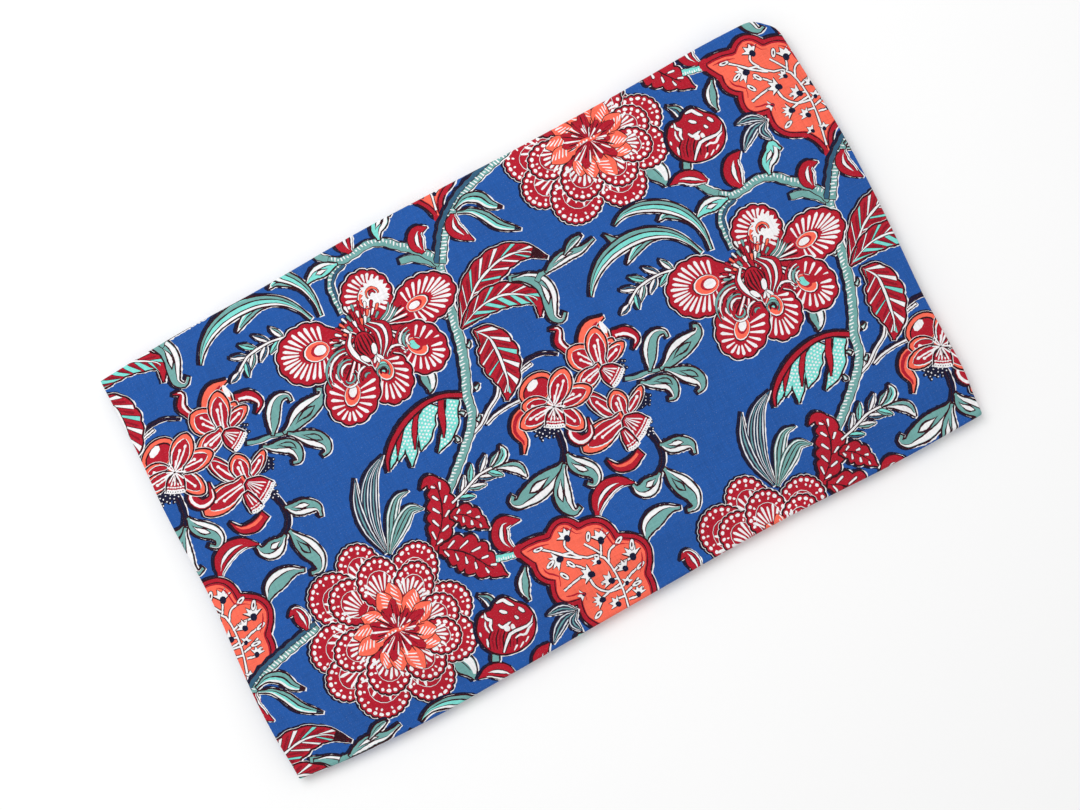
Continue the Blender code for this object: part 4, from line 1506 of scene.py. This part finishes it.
def dyes_at(points, shapes):
    """The dye of the topmost shape at each point, or the ground blue."""
    dye = np.full(len(points), BLUE)
    order = np.argsort(points.real)
    sorted_x = points.real[order]
    for outline, colour in shapes:
        first = np.searchsorted(sorted_x, outline.real.min())
        last = np.searchsorted(sorted_x, outline.real.max())
        near = order[first:last]
        near = near[(points.imag[near] >= outline.imag.min()) & (points.imag[near] <= outline.imag.max())]
        if len(near):
            dye[near[winding(points[near], outline) != 0]] = colour
    return dye

# %% [markdown]
# ## One sheet of cloth
# Each sheet is a closed, thin mesh: the printed face, the wrong side, and the narrow rims that join them.
# The two faces share the places of their border points, so the rims close without a seam. Lines along the
# folds keep the turns round. They have a point every few millimetres, because a long edge that ran past a
# swell would let the wrong side through the printed face. Shading normals are taken from the fold's own
# formula, which a mesh of uneven triangles could not give smoothly.

# %% Lines, borders and triangles
TURN_LINES, FOLD_LINES = 13, 9         # lines laid round a half-circle turn and round the centre fold
GRID_SHOWN, GRID_HIDDEN = 8.0, 13.0    # millimetres between the grid points of the printed part and elsewhere
ROW_SHARE = 0.87                       # rows of a staggered grid lie this much closer than its columns
LINE_STEP, ROUND_STEP = 14.0, 4.5      # millimetres between points of a line, and between rounding lines
STRAIGHT = 0.05                        # millimetres that a line between dyes may move when points are saved
MOST_ROUNDS = 10                       # how often the lines are looked through for points to save
RANK_STEP, RANKS = 7919, 104729        # two primes that mix the points' ranks
JOINED = 1e-4                          # millimetres below which the triangulation joins two points
NEAR_SIDE = 0.02                       # millimetres: border points nearer than this to a side are put on it
CLEAR = 0.01                           # millimetres that fold lines keep from the ends of a sheet
WIDE = WIDTH / MM                      # the cloth's width in millimetres


def rounding(reach):
    """Evenly spaced distances from an edge, from one line's step up to the end of its rounding, in
    metres."""
    return np.arange(ROUND_STEP * MM, reach + ROUND_STEP * MM / 2, ROUND_STEP * MM)


def cross_lines(v_low, v_high):
    """Fold lines as pairs of end points in millimetres. Along v they lie round the centre fold and down the
    two sides, and along u round the turns and where the top rounds off to the front and the back."""
    fold = FLAT_END + np.linspace(0, FOLD_ARC, FOLD_LINES)
    sides = np.concatenate([rounding(ROUND_LEFT), FLAT_END - rounding(ROUND_RIGHT)])
    along_v = np.concatenate([fold, sides, WIDTH - sides]) / MM
    turns = [V_MIDDLE + DEPTH / 2 - rounding(ROUND_FRONT), V_MIDDLE - DEPTH / 2 + rounding(ROUND_BACK)]
    stops = [SECTION_ENDS[name] for name, _, _ in SECTIONS]
    turns += [np.linspace(leave, arrive, TURN_LINES) for (_, leave), (arrive, _) in zip(stops, stops[1:])]
    turns = np.concatenate(turns) / MM
    turns = turns[(turns > v_low + CLEAR) & (turns < v_high - CLEAR)]
    return [(u + 1j * v_low, u + 1j * v_high) for u in along_v] + [(0 + 1j * v, WIDE + 1j * v) for v in turns]


def dotted_line(start, end):
    """Evenly spaced points from start to end."""
    return np.linspace(start, end, max(round(abs(end - start) / LINE_STEP), 1) + 1)


def triangulated(points, edges):
    """The Delaunay triangles of complex points in millimetres that keep the edges."""
    flat = [Vector((z.real, z.imag)) for z in points]
    out_points, _, out_faces, *_ = delaunay_2d_cdt(flat, edges, [], 0, JOINED)
    return np.array([complex(p[0], p[1]) for p in out_points]), np.array(out_faces)


def sides_of(faces):
    """The three sides of each triangle as sorted point pairs: all first sides, then all second and third
    ones."""
    return np.sort(np.concatenate([faces[:, [0, 1]], faces[:, [1, 2]], faces[:, [2, 0]]]), axis=1)


def corners_of(low, high):
    """The corners of a rectangle, in order round it."""
    return [low, complex(high.real, low.imag), high, complex(low.real, high.imag)]


class Drawing:
    """Points and edges gathered for a triangulation."""

    def __init__(self):
        self.parts, self.edges, self.count = [], [], 0

    def add(self, points, edges=()):
        """Points, and edges between them by their own numbers."""
        self.edges += (np.array(edges, dtype=int).reshape(-1, 2) + self.count).tolist()
        self.parts.append(np.asarray(points))
        self.count += len(points)

    def ring(self, points):
        """A closed ring."""
        here = np.arange(len(points))
        self.add(points, np.stack([here, (here + 1) % len(points)], axis=1))

    def triangles(self):
        """The triangulation of all that was gathered."""
        return triangulated(np.concatenate(self.parts), self.edges)


def grid_points(low, high, step):
    """Points of a staggered grid inside a rectangle."""
    span = high - low
    columns, rows = max(int(span.real / step), 1), max(int(span.imag / (step * ROW_SHARE)), 1)
    x = low.real + (np.arange(columns) + 0.5) * span.real / columns
    y = low.imag + (np.arange(rows) + 0.5) * span.imag / rows
    gx, gy = np.meshgrid(x, y)
    gx[::2] += 0.25 * span.real / columns
    return (gx + 1j * gy).ravel()


def lines_between_dyes(windows, shapes):
    """Points and edges of the lines that show: the sides of the triangles whose neighbour has another
    dye."""
    drawing = Drawing()
    for low, high in windows:
        drawing.ring(corners_of(low, high))
    for outline, _ in shapes:
        drawing.ring(outline)
    points, faces = drawing.triangles()
    dye = dyes_at(points[faces].mean(axis=1), shapes)
    sides, owner = sides_of(faces), np.tile(np.arange(len(faces)), 3)
    order = np.lexsort((sides[:, 1], sides[:, 0]))
    sides, owner = sides[order], owner[order]
    first = np.flatnonzero(np.all(sides[1:] == sides[:-1], axis=1))
    between = dye[owner[first]] != dye[owner[first + 1]]
    return straightened(points, sides[first[between]])


def straightened(points, lines):
    """The same lines without the points, between exactly two neighbours, that lie within STRAIGHT of the
    line that joins those. Of neighbouring points only the one of highest rank goes in each round. The ranks
    are mixed by a prime, so that they don't run along the lines."""
    rank = (np.arange(len(points)) * RANK_STEP) % RANKS
    for _ in range(MOST_ROUNDS):
        both = np.concatenate([lines, lines[:, ::-1]])
        both = both[np.argsort(both[:, 0], kind="stable")]
        count = np.bincount(both[:, 0], minlength=len(points))
        start = np.cumsum(count) - count
        two = np.flatnonzero(count == 2)
        one_side, other_side = both[start[two], 1], both[start[two] + 1, 1]
        chord = points[other_side] - points[one_side]
        leg = (points[two] - points[one_side]) * np.conj(chord)
        share = leg.real / np.maximum(np.abs(chord) ** 2, 1e-12)
        off = np.abs(leg.imag) / np.maximum(np.abs(chord), 1e-6)
        fits = (off < STRAIGHT) & (share > 0) & (share < 1) & (one_side != other_side)
        able = np.zeros(len(points), dtype=bool)
        able[two[fits]] = True
        beaten = [able[side] & (rank[side] > rank[two]) for side in (one_side, other_side)]
        goes = fits & ~beaten[0] & ~beaten[1]
        if not goes.any():
            break
        gone = np.zeros(len(points), dtype=bool)
        gone[two[goes]] = True
        kept = lines[~(gone[lines[:, 0]] | gone[lines[:, 1]])]
        lines = np.concatenate([kept, np.stack([one_side[goes], other_side[goes]], axis=1)])
    used, numbers = np.unique(lines, return_inverse=True)
    return points[used], numbers.reshape(-1, 2)


def face_mesh(low, high, border, windows, shapes):
    """Points and triangles of one face. The points are u + iv in millimetres, and the border is a closed
    ring. The print's lines are followed in the windows, and grids of points fill the gaps."""
    drawing = Drawing()
    drawing.ring(border)
    for start, end in cross_lines(low.imag, high.imag):
        dots = dotted_line(start, end)
        here = np.arange(len(dots) - 1)
        drawing.add(dots, np.stack([here, here + 1], axis=1))
    rest = grid_points(low, high, GRID_HIDDEN)
    for window in windows:
        drawing.add(grid_points(*window, GRID_SHOWN))
        rest = rest[~within(rest, *window)]
    if windows:
        drawing.add(*lines_between_dyes(windows, shapes))
    drawing.add(rest)
    return drawing.triangles()


def ring_of(points, faces, low, high):
    """The numbers of the points on the mesh's border, in order round the rectangle from its low corner, and
    all points, with those moved exactly onto it. A side that only one triangle has is on the border."""
    sides, times = np.unique(sides_of(faces), axis=0, return_counts=True)
    ring = np.unique(sides[times == 1])
    u, v = points.real.copy(), points.imag.copy()
    for values, limit in ((u, low.real), (u, high.real), (v, low.imag), (v, high.imag)):
        values[ring] = np.where(np.abs(values[ring] - limit) < NEAR_SIDE, limit, values[ring])
    wide, tall = high.real - low.real, high.imag - low.imag
    x, y = u[ring] - low.real, v[ring] - low.imag
    way = np.select([y == 0, x == wide, y == tall], [x, wide + y, 2 * wide + tall - x], 2 * (wide + tall) - y)
    assert np.all((x == 0) | (y == 0) | (x == wide) | (y == tall)), "a border point lies inside the sheet"
    return ring[np.argsort(way)], u + 1j * v


def printed_shapes_in(windows):
    """The print's shapes on the cloth's (u, v) plane in millimetres, cropped to the windows."""
    shapes = []
    middle = complex(LENGTH / 2 / MM, V_MIDDLE / MM)
    for low, high in windows:
        corner_a, corner_b = np.conj(low - middle), np.conj(high - middle)
        print_low = complex(corner_a.real, corner_b.imag)
        print_high = complex(corner_b.real, corner_a.imag)
        for outline, dye in print_in(print_low, print_high):
            on_cloth = cropped(np.conj(outline) + middle, low, high)
            if len(on_cloth) > 2:
                shapes.append((on_cloth, dye))
    return shapes


# %% The sheet's mesh, its dyes and its two UV maps
UV_STRIP = 0.07                        # the share of the baked square that is left for what doesn't show
UV_EDGE, UV_GAP = 0.004, 0.01          # clear margins round the baked square, and above the strip
HALF_STRIP, HALF_STARTS = 0.48, (0.005, 0.515)      # the strip's two halves: how long, and where they start


def facing(points, faces, sign):
    """The triangles turned to run clockwise in the (u, v) plane where the sign is +1, and the other way for
    -1."""
    corner = points[faces]
    span_a, span_b = corner[:, 1] - corner[:, 0], corner[:, 2] - corner[:, 0]
    turned = sign * (span_a.real * span_b.imag - span_a.imag * span_b.real) > 0
    faces[turned] = faces[turned][:, ::-1]
    return faces


def cloth_sheet(name, v_low, v_high, windows):
    """One closed sheet of the cloth from v_low to v_high, in millimetres, printed in its windows."""
    low, high = complex(0, v_low), complex(WIDE, v_high)
    shapes = printed_shapes_in(windows)
    corners = corners_of(low, high)
    border = np.concatenate([dotted_line(a, b)[:-1] for a, b in zip(corners, corners[1:] + corners[:1])])
    front, front_faces = face_mesh(low, high, border, windows, shapes)
    ring, front = ring_of(front, front_faces, low, high)
    back, back_faces = face_mesh(low, high, front[ring], [], [])
    back_ring, back = ring_of(back, back_faces, low, high)
    assert len(ring) == len(back_ring), "the two faces' borders differ"
    # the middle of each printed face decides its dye
    dye = dyes_at(front[front_faces].mean(axis=1), shapes)
    # printed faces run the other way round from the (u, v) plane's, because v runs backwards on top
    front_faces, back_faces = facing(front, front_faces, +1), facing(back, back_faces, -1)
    # rims: two triangles for each border step
    here, there = ring, np.roll(ring, -1)
    under, beyond = back_ring + len(front), np.roll(back_ring, -1) + len(front)
    rims = np.concatenate([np.stack([here, there, under], 1), np.stack([there, beyond, under], 1)])
    faces = np.concatenate([front_faces, back_faces + len(front), rims])
    plane = np.concatenate([front, back])
    printed_side = (np.arange(len(plane)) < len(front))[:, None]
    u, v = plane.real * MM, plane.imag * MM
    points = np.where(printed_side, cloth_point(u, v, +1), cloth_point(u, v, -1))
    normals = np.where(printed_side, cloth_normal(u, v, +1), cloth_normal(u, v, -1))
    dyes = np.concatenate([dye, np.full(len(back_faces) + len(rims), WRONG_SIDE)])
    return sheet_object(name, points, normals, faces, plane[faces], dyes, windows[0], len(front_faces))


def sheet_object(name, points, normals, faces, corners, dyes, window, printed_count):
    """The mesh object, with a dye number on each face, the weave's UV map in metres of cloth and the baking
    map."""
    mesh = bpy.data.meshes.new(name)
    mesh.from_pydata(points.tolist(), [], faces.tolist())
    mesh.polygons.foreach_set("use_smooth", np.ones(len(faces), dtype=bool))
    mesh.attributes.new("dye", "FLOAT", "FACE").data.foreach_set("value", dyes.astype(np.float32))
    weave = np.stack([corners.real, corners.imag], axis=-1) * MM
    for layer, places in (("cloth", weave), ("OFBake", bake_places(corners, window, printed_count))):
        mesh.uv_layers.new(name=layer).data.foreach_set("uv", places.astype(np.float32).ravel())
    mesh.normals_split_custom_set_from_vertices(normals.tolist())
    cloth = bpy.data.objects.new(name, mesh)
    bpy.context.scene.collection.objects.link(cloth)
    dyed = int((dyes[:printed_count] > BLUE).sum())
    print(name, len(points), "points,", len(faces), "triangles,", dyed, "dyed")
    return cloth


def bake_places(corners, window, printed_count):
    """Places on the baked square: the first window takes all but a strip at the foot of it, and the strip
    is shared by the rest of the printed face, on its left half, and the wrong side and rims, on its
    right."""
    low, high = window
    printed_face = np.arange(len(corners)) < printed_count
    inside = within(corners.mean(axis=1), low, high) & printed_face
    away, span = corners - low, high - low
    shown = np.stack([away.real / span.real, away.imag / span.imag], -1)
    room = np.array([1 - 2 * UV_EDGE, 1 - UV_EDGE - UV_GAP - UV_STRIP])
    shown = np.array([UV_EDGE, UV_STRIP + UV_GAP]) + shown * room
    v_low, v_high = corners.imag.min(), corners.imag.max()
    strip = np.stack([corners.real / WIDE, (corners.imag - v_low) / (v_high - v_low)], -1)
    strip = strip * np.array([HALF_STRIP, UV_STRIP - UV_GAP])
    strip += np.where(printed_face, *HALF_STARTS)[:, None, None] * np.array([1.0, 0.0])
    strip += np.array([0.0, UV_EDGE])
    return np.where(inside[:, None, None], shown, strip)

# %% [markdown]
# ## The finish of printed cotton
# The cloth is a plain weave of about 24 threads a centimetre, matt, with thicker threads (slubs) here and
# there. The material turns each face's dye number into its colour. Dye sinks unevenly into hand-printed
# cotton, so each colour is varied a little by soft cloudy noise, by the threads, and by pale specks where
# the block missed the hollows of the weave. Everything reads the cloth's own UV map, in metres, so the
# threads follow the folds.

# %% Dye colours, as a screen shows them, and the nodes
DYE_COLOURS = {
    BLUE: (0.135, 0.340, 0.640),
    NAVY: (0.070, 0.080, 0.200),
    WHITE: (0.955, 0.950, 0.955),
    MAROON: (0.200, 0.040, 0.085),
    CRIMSON: (0.705, 0.095, 0.175),
    DEEP: (0.560, 0.055, 0.140),
    CORAL: (0.990, 0.425, 0.335),
    SEA: (0.450, 0.660, 0.645),
    AQUA: (0.500, 0.870, 0.830),
    SLATE: (0.200, 0.370, 0.480),
    WRONG_SIDE: (0.470, 0.580, 0.740),      # the unprinted side and the cut edges
}
SPECK_COLOUR = (0.93, 0.93, 0.95)
SPECK_SCALE, SPECK_SHARE = 1500.0, 0.12         # how fine the pale specks are, and how much they hide the dye
CLOUD_SCALE, CLOUD_SHARE = 22.0, 0.10           # the same for the clouds of uneven dye
SPECK_RANGE, CLOUD_RANGE = (0.64, 0.74), (0.25, 0.75)      # the values of their noise that take effect
SLUB_SCALES, SLUB_SHARE = (60.0, 900.0), 0.75   # slubs are long and thin, along both sets of threads
THREAD = 0.42 * MM                              # from one thread to the next
WAVE_SCALE = 0.314 / THREAD                     # at a scale of 1 the wave texture repeats every 0.314 m
WEAVE_HEIGHT, SLUB_HEIGHT = 0.5, 2.2            # shares of the relief
RELIEF_DEPTH, RELIEF_STRENGTH = 0.16 * MM, 0.55
COTTON_GLOSS = {"Specular IOR Level": 0.18, "Sheen Weight": 0.06, "Sheen Roughness": 0.5}
ROUGHNESS = 0.86, 0.96


def linear(colour):
    """A screen colour as the linear light that shaders use."""
    value = np.array(colour)
    value = np.where(value <= 0.04045, value / 12.92, ((value + 0.055) / 1.055) ** 2.4)
    return (*value.tolist(), 1.0)


class Nodes:
    """A short way to add nodes to a material and link them."""

    def __init__(self, name):
        self.material = bpy.data.materials.new(name)
        self.material.use_nodes = True
        self.tree = self.material.node_tree
        self.shader = shader_of(self.material)

    def put(self, node, inputs):
        """Set a node's inputs, given by name or number: a socket is linked, and anything else is a
        value."""
        for key, value in inputs.items():
            if isinstance(value, bpy.types.NodeSocket):
                self.tree.links.new(value, node.inputs[key])
            else:
                node.inputs[key].default_value = value

    def add(self, kind, inputs, **settings):
        """A new node."""
        node = self.tree.nodes.new("ShaderNode" + kind)
        for key, value in settings.items():
            setattr(node, key, value)
        self.put(node, inputs)
        return node

    def maths(self, operation, first, second):
        """A sum or product of two values."""
        return self.add("Math", {0: first, 1: second}, operation=operation).outputs[0]

    def mixed(self, share, first, second, blend="MIX"):
        """Two colours mixed."""
        inputs = {0: share, 6: first, 7: second}
        return self.add("Mix", inputs, data_type="RGBA", blend_type=blend).outputs[2]

    def noise(self, where, scale, detail, roughness):
        """Cloudy noise from 0 to 1."""
        inputs = {"Vector": where, "Scale": scale, "Detail": detail, "Roughness": roughness}
        return self.add("TexNoise", inputs).outputs["Fac"]

    def between(self, value, low, high, new_low, new_high):
        """A value moved from one range to another, and held within it."""
        inputs = {"Value": value, "From Min": low, "From Max": high, "To Min": new_low, "To Max": new_high}
        return self.add("MapRange", inputs, clamp=True).outputs["Result"]

    def stretched(self, where, x, y):
        """Texture places with a scale of their own along each axis."""
        return self.add("Mapping", {"Vector": where, "Scale": (x, y, 1.0)}).outputs["Vector"]


def dye_ramp(nodes):
    """A ramp with one flat step for each dye number, read from the faces."""
    number = nodes.add("Attribute", {}, attribute_name="dye").outputs["Fac"]
    steps = len(DYE_COLOURS)
    place = nodes.maths("DIVIDE", nodes.maths("ADD", number, 0.5), float(steps))
    ramp = nodes.add("ValToRGB", {"Fac": place})
    ramp.color_ramp.interpolation = "CONSTANT"
    stops = ramp.color_ramp.elements
    while len(stops) < steps:
        stops.new(1.0)
    for index, colour in enumerate(DYE_COLOURS.values()):
        stops[index].position = index / steps
        stops[index].color = linear(colour)
    return ramp.outputs["Color"]


def printed_cotton():
    """Dyed cotton: the dye's colour, its unevenness, and the weave in bump and roughness."""
    nodes = Nodes("block printed cotton")
    maths = nodes.maths
    where = nodes.add("UVMap", {}, uv_map="cloth").outputs["UV"]
    cloudy = nodes.between(nodes.noise(where, CLOUD_SCALE, 3.0, 0.6), *CLOUD_RANGE, -0.5, 0.5)
    across = nodes.noise(nodes.stretched(where, *SLUB_SCALES), 1.0, 2.0, 0.5)
    along = nodes.noise(nodes.stretched(where, *SLUB_SCALES[::-1]), 1.0, 2.0, 0.5)
    slubs = maths("SUBTRACT", maths("MULTIPLY", maths("ADD", across, along), 0.5), 0.5)
    change = maths("ADD", maths("MULTIPLY", cloudy, CLOUD_SHARE), maths("MULTIPLY", slubs, SLUB_SHARE))
    factor = maths("ADD", change, 1.0)
    shade = nodes.add("CombineColor", {channel: factor for channel in range(3)})
    colour = nodes.mixed(1.0, dye_ramp(nodes), shade.outputs[0], "MULTIPLY")
    specks = nodes.between(nodes.noise(where, SPECK_SCALE, 1.0, 0.5), *SPECK_RANGE, 0.0, SPECK_SHARE)
    # the weave: two sets of round threads that pass over and under each other
    wave = {"Vector": where, "Distortion": 0.0, "Scale": WAVE_SCALE}
    waves = [
        nodes.add("TexWave", wave, bands_direction=way, wave_profile="SIN").outputs["Fac"]
        for way in ("X", "Y")
    ]
    weave = maths("MULTIPLY", maths("MULTIPLY", *waves), WEAVE_HEIGHT)
    relief = maths("ADD", weave, maths("MULTIPLY", slubs, SLUB_HEIGHT))
    bump = nodes.add("Bump", {"Height": relief, "Strength": RELIEF_STRENGTH, "Distance": RELIEF_DEPTH})
    nodes.put(nodes.shader, {
        "Base Color": nodes.mixed(specks, colour, linear(SPECK_COLOUR)),
        "Normal": bump.outputs["Normal"],
        "Roughness": nodes.between(cloudy, -0.5, 0.5, *ROUGHNESS),
        **COTTON_GLOSS,
    })
    return nodes.material


COTTON_FINISH = printed_cotton()

# %% [markdown]
# ## The cloth, in four lengths
# One mesh of the whole printed cloth would be too heavy, so it is made in four lengths that meet edge to
# edge inside the packet: the tucked-in end, the top section with the turns at its two ends, the second and
# third sections with the turn between them, and the section underneath with the turn that leads to it. The
# print is cut only in windows, where it can be seen: on the outer ply of the top and the underside, round
# the centre fold, and on the turns. The rest of the printed face lies against its neighbours and keeps the
# ground blue.

# %% The four lengths, each with the windows in which its print is cut
TUCK_END, TOP_END = SECTION_ENDS["tucked end"][1], SECTION_ENDS["second"][0]
TURN_START, TURN_END = SECTION_ENDS["second"][1] / MM - 2.0, SECTION_ENDS["third"][0] / MM + 2.0
THIRD_END = SECTION_ENDS["third"][1]
STRIP_START = FLAT_END / MM - 2.0                  # the print runs round the centre fold from here
STRIP_END = (FLAT_END + FOLD_ARC) / MM + 3.0       # to here
INSIDE = STRIP_START, STRIP_END


def window(u_low, u_high, v_low, v_high):
    """A rectangle of the cloth in millimetres, as its lowest and highest corners."""
    return u_low + 1j * v_low, u_high + 1j * v_high


CLOTH_LENGTHS = (
    # name, where it starts and ends along the cloth in metres, and its windows
    ("cloth_top", TUCK_END, TOP_END, [window(0, STRIP_END, TUCK_END / MM, TOP_END / MM)]),
    ("cloth_underside", THIRD_END, CUT_LENGTH, [window(0, STRIP_END, THIRD_END / MM, CUT_LENGTH / MM)]),
    ("cloth_tucked_end", 0.0, TUCK_END, [window(*INSIDE, 0.0, TUCK_END / MM)]),
    ("cloth_middle", TOP_END, THIRD_END, [
        window(STRIP_START, WIDE, TURN_START, TURN_END),
        window(*INSIDE, TOP_END / MM, TURN_START),
        window(*INSIDE, TURN_END, THIRD_END / MM),
    ]),
)
cloth_pieces = [
    cloth_sheet(name, start / MM, stop / MM, windows) for name, start, stop, windows in CLOTH_LENGTHS
]

# %% Bodies, slots and sheets
for piece, (_, start, stop, _) in zip(cloth_pieces, CLOTH_LENGTHS):
    piece.data.materials.append(COTTON_FINISH)
    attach(piece, "root")
    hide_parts("printed_cloth")
